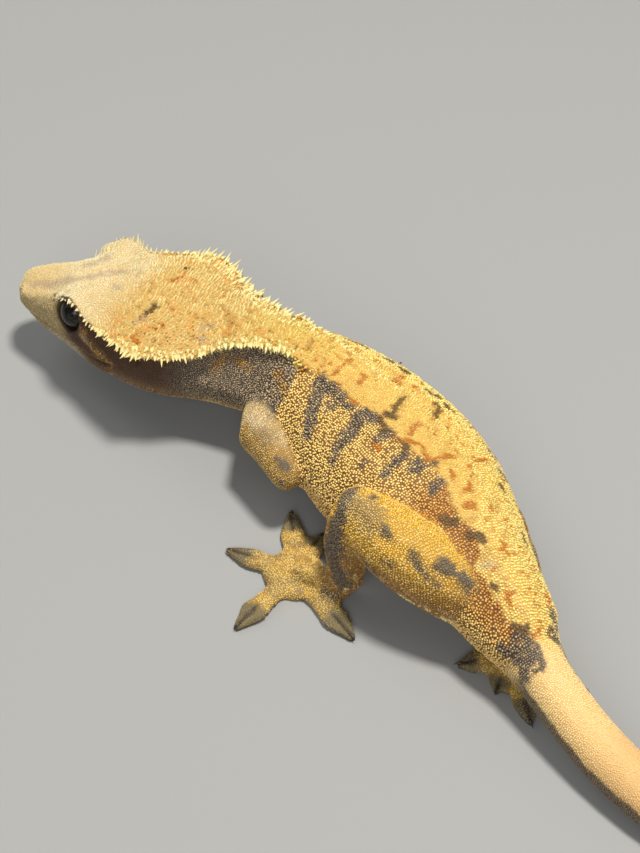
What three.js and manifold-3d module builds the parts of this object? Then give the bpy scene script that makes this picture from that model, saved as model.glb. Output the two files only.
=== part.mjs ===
// Crested gecko, life size, standing on a flat floor with its head turned to its left.
// Millimetres, +Z up, +X from tail to head along the back, +Y to the animal's left.
// The trunk is one loft from snout to tail tip, sliced into head, neck, torso and tail.
// Each limb is three lofts, trimmed so that every piece meets its neighbour with a small gap.
import * as THREE from "three";
import { mergeVertices } from "three/addons/utils/BufferGeometryUtils.js";
import Module from "manifold-3d";

const wasm = await Module();
wasm.setup();

// Driving dimensions
const GAP = 0.3; // clearance that touching pieces keep
const EYE_RADIUS = 2.9;
const RING_HALF = 16; // loft faces from belly line to back line, on one side
const CREST_INDEX = 11; // loft corner that runs along the crest, counted from the belly line

// Materials
const skinTan = new THREE.MeshStandardMaterial({ color: 0xd9a648, roughness: 0.75, metalness: 0 });
const skinGold = new THREE.MeshStandardMaterial({ color: 0xc48a2c, roughness: 0.8, metalness: 0 });
const skinTail = new THREE.MeshStandardMaterial({ color: 0xd08a3e, roughness: 0.7, metalness: 0 });
const eyeDark = new THREE.MeshStandardMaterial({ color: 0x2b2622, roughness: 0.15, metalness: 0 });

const part = new THREE.Group();

// Trunk stations from snout to tail tip. x, y, z: middle of the section. w: half width.
// rise, drop: height of the back and depth of the belly from the middle. cw, ch: where the crest
// line lies, sideways and up. lip: how far the crest stands out. side: bulge of the flank between
// widest point and crest, below zero where the temple is pinched in under the crest. round: how
// round the lower half is, 1 for an ellipse and less for a squarer jaw or belly.
const COLUMNS = ["x", "y", "z", "w", "rise", "drop", "cw", "ch", "lip", "side", "round"];
const STATIONS = [
  [50.2, 21.7, 9.8, 1.2, 1.0, 1.2, 0.9, 0.5, 0.0, 0.1, 0.86],
  [49.5, 21.3, 9.9, 2.5, 1.9, 2.3, 2.0, 1.0, 0.0, 0.3, 0.84],
  [48.0, 20.5, 10.2, 3.7, 2.7, 3.1, 3.0, 1.6, 0.1, 0.5, 0.82],
  [45.4, 19.1, 10.6, 4.7, 3.4, 4.2, 3.9, 2.1, 0.2, 0.5, 0.8],
  [42.3, 17.4, 11.1, 5.7, 4.3, 5.3, 4.8, 2.9, 0.3, 0.4, 0.78],
  [39.2, 15.7, 11.6, 7.1, 5.3, 6.5, 7.1, 4.9, 0.8, 0.0, 0.76],
  [36.8, 14.4, 11.9, 8.4, 5.7, 7.4, 8.6, 6.1, 1.1, -0.2, 0.75],
  [34.2, 13.0, 12.1, 9.5, 5.5, 7.9, 9.7, 3.9, 1.2, -0.3, 0.74],
  [31.6, 11.6, 12.2, 10.3, 5.4, 8.2, 10.9, 4.1, 1.3, -0.3, 0.74],
  [28.8, 10.2, 12.3, 10.8, 5.5, 8.4, 12.1, 4.4, 1.5, -0.2, 0.74],
  [25.8, 8.6, 12.3, 10.9, 5.5, 8.4, 13.2, 4.3, 1.7, -0.3, 0.74],
  [22.8, 7.0, 12.2, 10.3, 5.6, 8.1, 11.9, 4.3, 1.7, -0.3, 0.74],
  [19.4, 5.0, 12.0, 9.3, 5.9, 7.4, 9.6, 4.4, 1.6, -0.3, 0.76],
  [15.6, 2.7, 11.8, 8.6, 6.4, 7.0, 6.2, 6.0, 1.4, -0.2, 0.78],
  [11.6, 0.3, 11.6, 8.5, 7.0, 6.8, 4.6, 6.6, 1.2, 0.2, 0.78],
  [6.8, -1.9, 11.2, 9.4, 7.7, 7.3, 3.9, 7.3, 0.9, 1.0, 0.76],
  [0.8, -3.2, 10.6, 10.7, 8.2, 7.7, 3.6, 7.8, 0.7, 1.8, 0.72],
  [-6.0, -3.6, 10.2, 11.8, 8.6, 8.1, 4.0, 8.1, 0.5, 2.3, 0.69],
  [-13.5, -3.7, 9.9, 12.4, 9.0, 8.2, 4.5, 8.4, 0.5, 2.3, 0.68],
  [-21.0, -3.5, 9.7, 11.8, 8.8, 8.0, 4.5, 8.1, 0.4, 2.0, 0.69],
  [-28.0, -2.9, 9.5, 10.1, 8.1, 7.4, 4.1, 7.4, 0.4, 1.6, 0.74],
  [-34.5, -2.1, 9.3, 8.1, 7.2, 6.8, 3.6, 6.5, 0.3, 1.2, 0.8],
  [-40.0, -1.5, 8.8, 6.7, 6.3, 6.1, 3.1, 5.7, 0.3, 0.9, 0.84],
  [-44.2, -1.0, 8.2, 6.0, 5.5, 5.3, 2.7, 4.8, 0.2, 0.8, 0.84],
  [-48.0, -0.3, 7.5, 4.4, 4.5, 4.4, 2.2, 3.9, 0.1, 0.6, 0.86],
  [-52.0, 0.2, 6.7, 3.6, 3.8, 3.9, 1.9, 3.3, 0.0, 0.45, 0.88],
  [-58.5, 0.4, 5.3, 3.5, 3.6, 3.7, 1.85, 3.1, 0.0, 0.45, 0.92],
  [-66.0, 0.0, 4.1, 3.6, 3.55, 3.7, 1.85, 3.05, 0.0, 0.45, 0.92],
  [-75.0, -1.4, 3.5, 3.4, 3.3, 3.55, 1.75, 2.85, 0.0, 0.45, 0.92],
  [-85.0, -4.4, 3.1, 3.1, 2.95, 3.2, 1.6, 2.55, 0.0, 0.4, 0.92],
  [-95.0, -9.2, 2.6, 2.7, 2.5, 2.7, 1.35, 2.15, 0.0, 0.35, 0.92],
  [-104.0, -15.6, 2.15, 2.25, 2.05, 2.25, 1.15, 1.75, 0.0, 0.3, 0.92],
  [-111.0, -23.0, 1.7, 2.0, 1.6, 1.8, 1.1, 1.35, 0.0, 0.25, 0.92],
  [-115.5, -31.0, 1.2, 2.0, 1.1, 1.3, 1.1, 0.85, 0.0, 0.2, 0.92],
  [-117.5, -37.0, 0.85, 1.5, 0.7, 0.95, 0.8, 0.55, 0.0, 0.1, 0.92],
];

// Where the slices fall, as distances back from the snout tip along the trunk
const HEAD_END = 33.5;
const NECK_END = 44;
const TORSO_END = 105;
const TAIL_BASE_END = 133;
const TAIL_MIDDLE_END = 163;

// A smooth curve through (at, value) pairs that never overshoots between them
function smoothThrough(at, values) {
  const slope = at.slice(1).map((a, i) => (values[i + 1] - values[i]) / (a - at[i]));
  const tangent = at.map((_, i) => {
    if (i === 0) return slope[0];
    if (i === at.length - 1) return slope[i - 1];
    if (slope[i - 1] * slope[i] <= 0) return 0;
    return (2 * slope[i - 1] * slope[i]) / (slope[i - 1] + slope[i]);
  });
  return (t) => {
    let i = 0;
    while (i < at.length - 2 && t > at[i + 1]) i += 1;
    const h = at[i + 1] - at[i];
    const u = Math.min(1, Math.max(0, (t - at[i]) / h));
    const u2 = u * u;
    const u3 = u2 * u;
    return (
      (2 * u3 - 3 * u2 + 1) * values[i] +
      (u3 - 2 * u2 + u) * h * tangent[i] +
      (3 * u2 - 2 * u3) * values[i + 1] +
      (u3 - u2) * h * tangent[i + 1]
    );
  };
}

// The spine's route, and each station's distance along it
const spine = new THREE.CatmullRomCurve3(
  STATIONS.map(([x, y, z]) => new THREE.Vector3(x, y, z)),
  false,
  "centripetal",
);
spine.arcLengthDivisions = 1200;
const spineLength = spine.getLength();
const lengths = spine.getLengths();
const stationAt = STATIONS.map((_, i) => lengths[Math.round((i / (STATIONS.length - 1)) * 1200)]);
const profile = Object.fromEntries(
  COLUMNS.slice(3).map((name, c) => [name, smoothThrough(stationAt, STATIONS.map((row) => row[c + 3]))]),
);

// The middle, the tangent and the sideways and upward directions of the trunk at a distance
function trunkFrame(distance) {
  const u = THREE.MathUtils.clamp(distance / spineLength, 0, 1);
  const middle = spine.getPointAt(u);
  const back = spine.getTangentAt(u);
  const left = new THREE.Vector3(0, 0, 1).cross(back).negate().normalize();
  const up = back.clone().cross(left).negate().normalize();
  return { middle, back, left, up };
}

// Half of a section, from the belly line (index 0) round the left side to the back line
function halfSection(distance, grow = 0) {
  const p = Object.fromEntries(Object.entries(profile).map(([k, f]) => [k, f(distance)]));
  const w = p.w + grow;
  const drop = p.drop + grow;
  const rise = p.rise + grow;
  const cw = p.cw + grow;
  const ch = p.ch + grow * 0.7;
  const points = [];
  const bellyFaces = 6;
  const sideFaces = 4;
  for (let i = 0; i < bellyFaces; i += 1) {
    const a = (i / bellyFaces) * (Math.PI / 2);
    points.push([w * Math.sin(a) ** p.round, -drop * Math.cos(a) ** p.round]);
  }
  const foot = [cw - p.lip, ch - p.lip * 0.55];
  const along = [foot[0] - w, foot[1]];
  const size = Math.hypot(...along) || 1;
  const out = [along[1] / size, -along[0] / size];
  for (let i = 0; i < sideFaces; i += 1) {
    const t = i / sideFaces;
    const bulge = p.side * Math.sin(Math.PI * t);
    points.push([w + along[0] * t + out[0] * bulge, along[1] * t + out[1] * bulge]);
  }
  points.push(foot, [cw, ch]);
  const shoulder = [cw - p.lip - 0.18 * p.cw, ch + Math.min(0.2 * p.lip, 0.5 * (rise - ch))];
  const topFaces = RING_HALF - CREST_INDEX - 1;
  for (let i = 0; i <= topFaces; i += 1) {
    const t = i / topFaces;
    points.push([shoulder[0] * (1 - t), shoulder[1] + (rise - shoulder[1]) * (1 - (1 - t) ** 2)]);
  }
  return points;
}

// A point of the trunk's surface: index counts from the belly line, side is 1 left or -1 right
function onTrunk(distance, index, side) {
  const { middle, left, up } = trunkFrame(distance);
  const [l, u] = halfSection(distance)[index];
  return middle.clone().addScaledVector(left, side * l).addScaledVector(up, u);
}

// A closed mesh from rings of equal count, each end closed by a fan on its own middle
function loftRings(rings) {
  const count = rings[0].length;
  const positions = rings.flat().flatMap((p) => p.toArray());
  const faces = [];
  for (let r = 0; r < rings.length - 1; r += 1) {
    for (let i = 0; i < count; i += 1) {
      const a = r * count + i;
      const b = r * count + ((i + 1) % count);
      faces.push(a, b, a + count, b, b + count, a + count);
    }
  }
  for (const [ring, flip] of [[0, false], [rings.length - 1, true]]) {
    const centre = rings[ring].reduce((sum, p) => sum.add(p), new THREE.Vector3()).divideScalar(count);
    const c = positions.length / 3;
    positions.push(...centre.toArray());
    for (let i = 0; i < count; i += 1) {
      const a = ring * count + i;
      const b = ring * count + ((i + 1) % count);
      faces.push(...(flip ? [c, a, b] : [c, b, a]));
    }
  }
  const geometry = new THREE.BufferGeometry();
  geometry.setAttribute("position", new THREE.Float32BufferAttribute(positions, 3));
  geometry.setIndex(faces);
  return geometry;
}

// A three.js geometry as a solid, turned the right way out
function solid(geometry) {
  const bare = geometry.clone();
  bare.deleteAttribute("normal");
  bare.deleteAttribute("uv");
  const merged = mergeVertices(bare, 1e-4);
  const triVerts = new Uint32Array(merged.index.array);
  const build = () =>
    new wasm.Manifold(
      new wasm.Mesh({ numProp: 3, vertProperties: merged.attributes.position.array, triVerts }),
    );
  const made = build();
  if (made.volume() > 0) return made;
  for (let i = 0; i < triVerts.length; i += 3) {
    [triVerts[i + 1], triVerts[i + 2]] = [triVerts[i + 2], triVerts[i + 1]];
  }
  return build();
}

// Only the largest closed surface of a solid
const largest = (s) => s.decompose().sort((a, b) => b.volume() - a.volume())[0];
const fuse = (solids) => solids.reduce((all, s) => all.add(s));
const carve = (s, cutters) => cutters.reduce((rest, c) => rest.subtract(c), s);

// The length of trunk between two distances, with rings about as far apart as step
function trunkSlice(from, to, step, grow = 0) {
  const count = Math.max(2, Math.round((to - from) / step));
  const rings = [];
  for (let i = 0; i <= count; i += 1) {
    const distance = from + ((to - from) * i) / count;
    const { middle, left, up } = trunkFrame(distance);
    const half = halfSection(distance, grow);
    const whole = [...half, ...half.slice(1, -1).reverse().map(([l, u]) => [-l, u])];
    rings.push(whole.map(([l, u]) => middle.clone().addScaledVector(left, l).addScaledVector(up, u)));
  }
  return solid(loftRings(rings));
}

const ROUND_END = [0.55, 0.93]; // shares of an end's depth at which its rounding has a ring

// A tapered limb with rounded ends through points of { at, wide, deep }. across is the direction
// that wide is measured in. grow makes it fatter and longer all round.
function limb(points, across, { sides = 12, step = 2.5, grow = 0, ends = ROUND_END } = {}) {
  const route = points.map((p) => new THREE.Vector3(...p.at));
  const curve = new THREE.CatmullRomCurve3(route, false, "centripetal");
  const whole = curve.getLength();
  const pieces = curve.getLengths(points.length * 40 - 40);
  const at = points.map((_, i) => pieces[i * 40]);
  const wide = smoothThrough(at, points.map((p) => p.wide));
  const deep = smoothThrough(at, points.map((p) => p.deep));
  const count = Math.max(3, Math.round(whole / step));
  const places = Array.from({ length: count + 1 }, (_, i) => (i / count) * whole);
  const ring = (distance, scale, beyond) => {
    const u = distance / whole;
    const tangent = curve.getTangentAt(u);
    const side = new THREE.Vector3(...across);
    side.addScaledVector(tangent, -tangent.dot(side)).normalize();
    const up = tangent.clone().cross(side);
    const middle = curve.getPointAt(u).addScaledVector(tangent, beyond);
    return Array.from({ length: sides }, (_, i) => {
      const a = (i / sides) * Math.PI * 2;
      return middle
        .clone()
        .addScaledVector(side, Math.cos(a) * (wide(distance) + grow) * scale)
        .addScaledVector(up, Math.sin(a) * (deep(distance) + grow) * scale);
    });
  };
  const cap = (distance, share) => ring(distance, Math.sqrt(1 - share ** 2), (deep(distance) + grow) * share);
  const start = ends.toReversed().map((share) => cap(0, -share));
  const end = ends.map((share) => cap(whole, share));
  return solid(loftRings([...start, ...places.map((p) => ring(p, 1, 0)), ...end]));
}

// A small three-sided spine from root towards tip, sunk into its node by its radius
function spike(root, direction, length, radius) {
  const geometry = new THREE.ConeGeometry(radius, length + radius, 3, 1);
  geometry.translate(0, (length + radius) / 2 - radius, 0);
  const axis = direction.clone().normalize();
  geometry.applyQuaternion(new THREE.Quaternion().setFromUnitVectors(new THREE.Vector3(0, 1, 0), axis));
  geometry.translate(...root.toArray());
  return solid(geometry);
}

function ball(centre, radius, [sx, sy, sz] = [1, 1, 1], rows = 8) {
  const geometry = new THREE.SphereGeometry(radius, rows * 2, rows);
  geometry.scale(sx, sy, sz);
  geometry.translate(...centre.toArray());
  return solid(geometry);
}

const belowFloor = solid(new THREE.BoxGeometry(400, 400, 20).translate(-30, 0, -10));

function addNode(name, made, material) {
  const mesh = largest(made.subtract(belowFloor)).getMesh();
  const geometry = new THREE.BufferGeometry();
  geometry.setAttribute("position", new THREE.Float32BufferAttribute(mesh.vertProperties, 3));
  geometry.setIndex(new THREE.BufferAttribute(mesh.triVerts, 1));
  const node = new THREE.Mesh(geometry, material);
  node.name = name;
  part.add(node);
}

// Seeded draw between two values, for the natural spread of spine sizes
let seed = 7;
function draw(low, high) {
  seed = (seed * 16807) % 2147483647;
  return low + (high - low) * (seed / 2147483647);
}

// Crest spines in a row along the crest line
const SPINE_RADIUS = 0.5;
const SPINE_SUNK = 0.25; // how far the middle of a spine's foot lies inside the crest's edge
function crestSpines(from, to, spacing, lengthAt, lean) {
  const made = [];
  for (const side of [1, -1]) {
    for (let d = from; d <= to; d += spacing * draw(0.85, 1.15)) {
      const { back, left, up } = trunkFrame(d);
      const root = onTrunk(d, CREST_INDEX, side);
      const direction = left
        .clone()
        .multiplyScalar(side)
        .addScaledVector(up, draw(0.35, 0.75))
        .addScaledVector(back, lean * draw(0.6, 1.4));
      root.addScaledVector(direction.clone().normalize(), -SPINE_SUNK);
      made.push(spike(root, direction, lengthAt(d) * draw(0.7, 1.3), SPINE_RADIUS));
    }
  }
  return made;
}

// Head
const HEAD_RINGS = 1.5; // spacing of the head's rings
const SIDE_INDEX = 8; // loft corner on the side of the head, below the crest
const MOUTH_STEPS = 8;
const MOUTH_HALF = 0.22; // half the width of the mouth's slit
const MOUTH_DEEP = 0.7;
const LIP_HALF = 0.95; // from the mouth line to the lip's far edge
const LIP_RISE = 0.2;
const SHEET_REACH = 13; // further out than any point of the head
const NOSTRIL_AT = 1.8; // distances back from the snout
const NOSTRIL_RADIUS = 0.5;
const EAR_AT = 27.5;
const EAR_RADIUS = 1.0;
const EAR_SHAPE = [0.9, 0.9, 1.7]; // the ear pit is taller than it is wide
const MOUTH = [ // side view of the mouth line: distance back from the snout, height on the trunk's middle
  [-2, -1.3], [1.5, -1.5], [6, -2.0], [12, -2.8], [18, -3.0], [22, -2.2], [24.5, -1.0],
];

// A curved sheet across the head along the mouth line, this far above and below it
function mouthSheet(half) {
  const rise = smoothThrough(MOUTH.map((m) => m[0]), MOUTH.map((m) => m[1]));
  const rings = [];
  for (let i = 0; i <= MOUTH_STEPS; i += 1) {
    const d = MOUTH[0][0] + ((MOUTH.at(-1)[0] - MOUTH[0][0]) * i) / MOUTH_STEPS;
    const { middle, back, left, up } = trunkFrame(Math.max(0, d));
    const centre = middle.clone().addScaledVector(back, Math.min(0, d)).addScaledVector(up, rise(d));
    const corners = [[-1, -1], [1, -1], [1, 1], [-1, 1]];
    rings.push(
      corners.map(([l, u]) =>
        centre.clone().addScaledVector(left, l * SHEET_REACH).addScaledVector(up, u * half),
      ),
    );
  }
  return solid(loftRings(rings));
}

// The cutter for the mouth line: a thin sheet less the head's own core
function mouthLine() {
  const core = trunkSlice(MOUTH_DEEP, HEAD_END, HEAD_RINGS, -MOUTH_DEEP);
  return mouthSheet(MOUTH_HALF).subtract(core);
}

// Both lips: a band of the head's surface along the mouth line, a little proud of it
function lips() {
  return trunkSlice(0, HEAD_END, HEAD_RINGS, LIP_RISE).intersect(mouthSheet(LIP_HALF));
}

// Eyes sit in sockets under the brow part of the crest
const EYE_AT = 14.4; // distance of the eye back from the snout
const EYE_OUT = 5.3; // sideways from the trunk's middle
const EYE_UP = 1.9;
function eyeCentre(side) {
  const { middle, left, up } = trunkFrame(EYE_AT);
  return middle.clone().addScaledVector(left, side * EYE_OUT).addScaledVector(up, EYE_UP);
}

// The raised rim round an eye, which looks outwards, a little up and forwards
const RIM_RADIUS = 0.5;
const RIM_OUT = 0.68; // share of the eye's radius that the rim stands out from the eye's middle
const GAZE = { up: 0.18, back: -0.3 };
function orbitRim(side) {
  const { left, up, back } = trunkFrame(EYE_AT);
  const axis = left.clone().multiplyScalar(side);
  axis.addScaledVector(up, GAZE.up).addScaledVector(back, GAZE.back).normalize();
  const ring = new THREE.TorusGeometry(EYE_RADIUS + GAP / 2, RIM_RADIUS, 5, 18);
  ring.applyQuaternion(new THREE.Quaternion().setFromUnitVectors(new THREE.Vector3(0, 0, 1), axis));
  ring.translate(...eyeCentre(side).addScaledVector(axis, EYE_RADIUS * RIM_OUT).toArray());
  return solid(ring);
}

// Brow spines run along the crest over the eye, the rear crest's larger ones from there on
const BROW = { from: 11.5, to: 20, spacing: 1.1, length: 0.95, lean: 0.1 };
const REAR = { from: 20.9, spacing: 1.2, lean: 0.25 };
const ROW_END = 0.8; // clear length that a row of spines leaves before a cut

function headNode() {
  const skull = trunkSlice(0, HEAD_END, HEAD_RINGS);
  const rearLength = smoothThrough([20, 26, 30, 34], [0.8, 1.5, 1.9, 1.3]);
  const grown = [
    lips(),
    orbitRim(1),
    orbitRim(-1),
    ...crestSpines(BROW.from, BROW.to, BROW.spacing, () => BROW.length, BROW.lean),
    ...crestSpines(REAR.from, HEAD_END - ROW_END, REAR.spacing, rearLength, REAR.lean),
  ];
  const cuts = [mouthLine()];
  for (const side of [1, -1]) {
    cuts.push(ball(eyeCentre(side), EYE_RADIUS + GAP));
    cuts.push(ball(onTrunk(NOSTRIL_AT, SIDE_INDEX, side), NOSTRIL_RADIUS, [1, 1, 1], 4));
    cuts.push(ball(onTrunk(EAR_AT, SIDE_INDEX, side), EAR_RADIUS, EAR_SHAPE, 4));
  }
  return carve(fuse([skull, ...grown]), cuts);
}

addNode("head", headNode(), skinTan);
for (const [name, side] of [["eye_left", 1], ["eye_right", -1]]) {
  addNode(name, ball(eyeCentre(side), EYE_RADIUS), eyeDark);
}

// Neck, torso and tail
const NECK_RINGS = 1.7;
const TORSO_RINGS = 3;
const TAIL_RINGS = 4;
const TAIL_TIP_RINGS = 3.4;
const NECK_ROW = { spacing: 1.4, lean: 0.4 };
const TORSO_ROW = { to: 62, spacing: 2.3, lean: 0.4 };
const neckLength = smoothThrough([33, 38, 44], [1.4, 1.1, 0.9]);
const torsoLength = smoothThrough([44, 56, 64], [0.85, 0.6, 0.35]);
const neck = fuse([
  trunkSlice(HEAD_END + GAP, NECK_END, NECK_RINGS),
  ...crestSpines(HEAD_END + GAP + ROW_END, NECK_END - ROW_END, NECK_ROW.spacing, neckLength, NECK_ROW.lean),
]);
const torso = fuse([
  trunkSlice(NECK_END + GAP, TORSO_END, TORSO_RINGS),
  ...crestSpines(NECK_END + GAP + ROW_END, TORSO_ROW.to, TORSO_ROW.spacing, torsoLength, TORSO_ROW.lean),
]);
addNode("neck", neck, skinTan);
addNode("torso", torso, skinTan);
addNode("tail_base", trunkSlice(TORSO_END + GAP, TAIL_BASE_END, TAIL_RINGS), skinTail);
addNode("tail_middle", trunkSlice(TAIL_BASE_END + GAP, TAIL_MIDDLE_END, TAIL_RINGS), skinTail);
addNode("tail_tip", trunkSlice(TAIL_MIDDLE_END + GAP, spineLength, TAIL_TIP_RINGS), skinTail);

// Limbs. Each has three lofts: root to elbow or knee, then to wrist or ankle, then palm and toes.
const LIMB_ZONE = { from: 30, to: 115 }; // the length of trunk that limbs are trimmed against
const bodyClear = trunkSlice(LIMB_ZONE.from, LIMB_ZONE.to, TORSO_RINGS, GAP);

const TOE_ROOT = 2.2; // where a toe leaves the palm, from the palm's middle
const CLAW = { beyond: 0.55, root: 0.5, high: 0.75, low: 0.12, radius: 0.36 };
function toe([x, y], degrees, length) {
  const a = THREE.MathUtils.degToRad(degrees);
  const along = (d, z) => [x + Math.cos(a) * d, y + Math.sin(a) * d, z];
  const across = [-Math.sin(a), Math.cos(a), 0];
  const free = length - TOE_ROOT;
  const flesh = limb(
    [
      { at: along(TOE_ROOT * 0.5, 0.9), wide: 1.8, deep: 1.0 },
      { at: along(TOE_ROOT + free * 0.3, 0.75), wide: 1.45, deep: 0.85 },
      { at: along(TOE_ROOT + free * 0.55, 0.65), wide: 1.9, deep: 0.75 },
      { at: along(TOE_ROOT + free * 0.76, 0.6), wide: 2.15, deep: 0.7 },
      { at: along(TOE_ROOT + free * 0.93, 0.5), wide: 1.2, deep: 0.5 },
    ],
    across,
    { sides: 7, step: 2.8, ends: [0.75] },
  );
  const clawTip = new THREE.Vector3(...along(length + CLAW.beyond, CLAW.low));
  const clawRoot = new THREE.Vector3(...along(length - CLAW.root, CLAW.high));
  const claw = spike(clawRoot, clawTip.clone().sub(clawRoot), clawTip.distanceTo(clawRoot), CLAW.radius);
  return flesh.add(claw);
}

const PALM = { half: [4.6, 4.4, 1.75], high: 0.55, rows: 6 };
function foot(palm, toes, heel) {
  const disc = ball(new THREE.Vector3(palm[0], palm[1], PALM.high), 1, PALM.half, PALM.rows);
  return fuse([disc, heel, ...toes.map(([degrees, length]) => toe(palm, degrees, length))]);
}

const LIMBS = {
  front_left: {
    names: ["upper_arm_left", "forearm_left", "hand_left"],
    across: [0, 0, 1],
    upper: [
      { at: [5.0, 4.5, 9.0], wide: 3.9, deep: 3.6 },
      { at: [3.5, 8.1, 9.5], wide: 3.8, deep: 3.6 },
      { at: [-1.1, 8.9, 9.7], wide: 3.1, deep: 3.1 },
      { at: [-6.0, 9.7, 9.0], wide: 2.4, deep: 2.4 },
    ],
    lower: [
      { at: [-5.9, 9.5, 8.4], wide: 2.3, deep: 2.3 },
      { at: [-3.0, 7.8, 5.4], wide: 2.2, deep: 2.2 },
      { at: [1.0, 5.0, 3.2], wide: 1.8, deep: 1.9 },
      { at: [3.8, 2.8, 1.9], wide: 1.3, deep: 1.7 },
    ],
    palm: [6.4, 0.9],
    toes: [[-104, 7.2], [-58, 8.0], [-16, 8.6], [26, 8.2], [72, 6.8]],
  },
  front_right: {
    names: ["upper_arm_right", "forearm_right", "hand_right"],
    across: [0, 0, 1],
    upper: [
      { at: [5.0, -6.5, 9.4], wide: 4.0, deep: 3.6 },
      { at: [3.6, -11.6, 9.0], wide: 3.8, deep: 3.4 },
      { at: [-1.0, -14.6, 7.8], wide: 3.2, deep: 2.9 },
      { at: [-5.6, -16.0, 6.6], wide: 2.7, deep: 2.5 },
    ],
    lower: [
      { at: [-6.0, -16.0, 6.0], wide: 2.5, deep: 2.5 },
      { at: [-2.4, -16.2, 4.6], wide: 2.4, deep: 2.5 },
      { at: [2.4, -16.0, 3.0], wide: 1.8, deep: 1.9 },
      { at: [5.4, -15.7, 1.9], wide: 1.3, deep: 1.7 },
    ],
    palm: [8.2, -15.2],
    toes: [[-118, 7.2], [-66, 7.6], [-24, 8.4], [18, 8.4], [64, 7.2]],
  },
  hind_left: {
    names: ["thigh_left", "shin_left", "foot_left"],
    across: [0, 0, 1],
    lowerAcross: [1, 0, 0],
    upper: [
      { at: [-38.8, 0.8, 9.2], wide: 5.2, deep: 4.8 },
      { at: [-34.8, 3.2, 10.4], wide: 5.5, deep: 4.9 },
      { at: [-30.6, 5.2, 11.8], wide: 5.7, deep: 5.1 },
      { at: [-26.2, 6.8, 13.1], wide: 5.3, deep: 4.8 },
      { at: [-21.8, 8.2, 14.7], wide: 3.7, deep: 3.4 },
    ],
    lower: [
      { at: [-21.6, 8.8, 13.8], wide: 3.2, deep: 3.2 },
      { at: [-21.6, 9.8, 9.6], wide: 3.6, deep: 3.1 },
      { at: [-22.7, 10.5, 5.4], wide: 3.1, deep: 2.6 },
      { at: [-22.0, 11.4, 2.4], wide: 2.4, deep: 2.4 },
    ],
    palm: [-16.2, 14.6],
    toes: [[-60, 8.0], [-30, 11.5], [31, 10.2], [107, 11.9], [182, 13.5]],
  },
  hind_right: {
    names: ["thigh_right", "shin_right", "foot_right"],
    across: [0, 0, 1],
    upper: [
      { at: [-38.5, -3.4, 8.0], wide: 5.0, deep: 4.4 },
      { at: [-34.8, -7.0, 6.9], wide: 4.5, deep: 3.9 },
      { at: [-31.0, -10.2, 5.8], wide: 3.7, deep: 3.3 },
      { at: [-27.4, -12.6, 5.2], wide: 3.0, deep: 2.8 },
    ],
    lower: [
      { at: [-27.4, -12.4, 4.8], wide: 2.8, deep: 2.7 },
      { at: [-32.0, -10.8, 4.4], wide: 3.0, deep: 3.0 },
      { at: [-37.6, -8.2, 3.8], wide: 2.6, deep: 2.6 },
      { at: [-41.2, -5.6, 2.8], wide: 2.0, deep: 2.1 },
    ],
    palm: [-44.0, -1.4],
    toes: [[64, 7.2], [14, 7.6], [122, 5.9], [156, 10.7], [208, 10.4]],
  },
};

for (const { names, across, lowerAcross = across, upper, lower, palm, toes } of Object.values(LIMBS)) {
  const first = limb(upper, across);
  const second = limb(lower, lowerAcross);
  const wrist = lower.at(-1);
  const towardsPalm = (axis) => palm[axis] * 0.7 + wrist.at[axis] * 0.3;
  const heel = limb(
    [
      { at: wrist.at, wide: wrist.wide * 0.9, deep: wrist.deep * 0.9 },
      { at: [towardsPalm(0), towardsPalm(1), 1.1], wide: 1.2, deep: 3.0 },
    ],
    lowerAcross,
    { sides: 8 },
  );
  const last = foot(palm, toes, heel);
  const firstClear = limb(upper, across, { grow: GAP });
  const secondClear = limb(lower, lowerAcross, { grow: GAP });
  addNode(names[0], carve(first, [bodyClear]), skinGold);
  addNode(names[1], carve(second, [bodyClear, firstClear]), skinGold);
  addNode(names[2], carve(last, [bodyClear, secondClear, firstClear]), skinGold);
}

// The origin is under the middle of the whole animal, at floor level
const middle = new THREE.Box3().setFromObject(part).getCenter(new THREE.Vector3());
part.position.set(-middle.x, -middle.y, 0);

export default part;
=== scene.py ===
import math
from types import SimpleNamespace

import bpy
import numpy as np
from mathutils import Matrix, Vector
from mathutils.bvhtree import BVHTree
from mathutils.kdtree import KDTree


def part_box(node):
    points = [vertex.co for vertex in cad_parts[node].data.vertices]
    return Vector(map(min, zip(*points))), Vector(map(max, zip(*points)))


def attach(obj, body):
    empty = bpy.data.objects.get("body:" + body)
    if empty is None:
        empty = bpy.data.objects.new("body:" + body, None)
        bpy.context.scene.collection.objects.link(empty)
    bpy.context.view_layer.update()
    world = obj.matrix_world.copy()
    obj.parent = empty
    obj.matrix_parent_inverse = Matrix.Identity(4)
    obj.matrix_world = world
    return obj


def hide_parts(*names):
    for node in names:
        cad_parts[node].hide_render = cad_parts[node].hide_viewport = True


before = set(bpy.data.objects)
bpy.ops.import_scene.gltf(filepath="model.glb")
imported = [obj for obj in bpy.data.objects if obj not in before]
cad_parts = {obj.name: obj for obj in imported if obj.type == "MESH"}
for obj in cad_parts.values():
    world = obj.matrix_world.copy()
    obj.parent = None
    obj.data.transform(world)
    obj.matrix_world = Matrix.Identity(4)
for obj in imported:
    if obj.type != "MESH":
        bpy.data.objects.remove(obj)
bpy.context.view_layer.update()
scene = bpy.context.scene
up = np.array([0.0, 0.0, 1.0])
perMetre = 1000  # millimetres in a metre
farAway = 1e3  # further than anything on the animal

# The animal's own zero point in the frame, worked out from its left eye
eyePlace = (35.335, 19.63, 13.69)
eyeLow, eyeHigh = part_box("eye_left")
home = np.array((eyeLow + eyeHigh) / 2 * perMetre) - eyePlace

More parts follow.
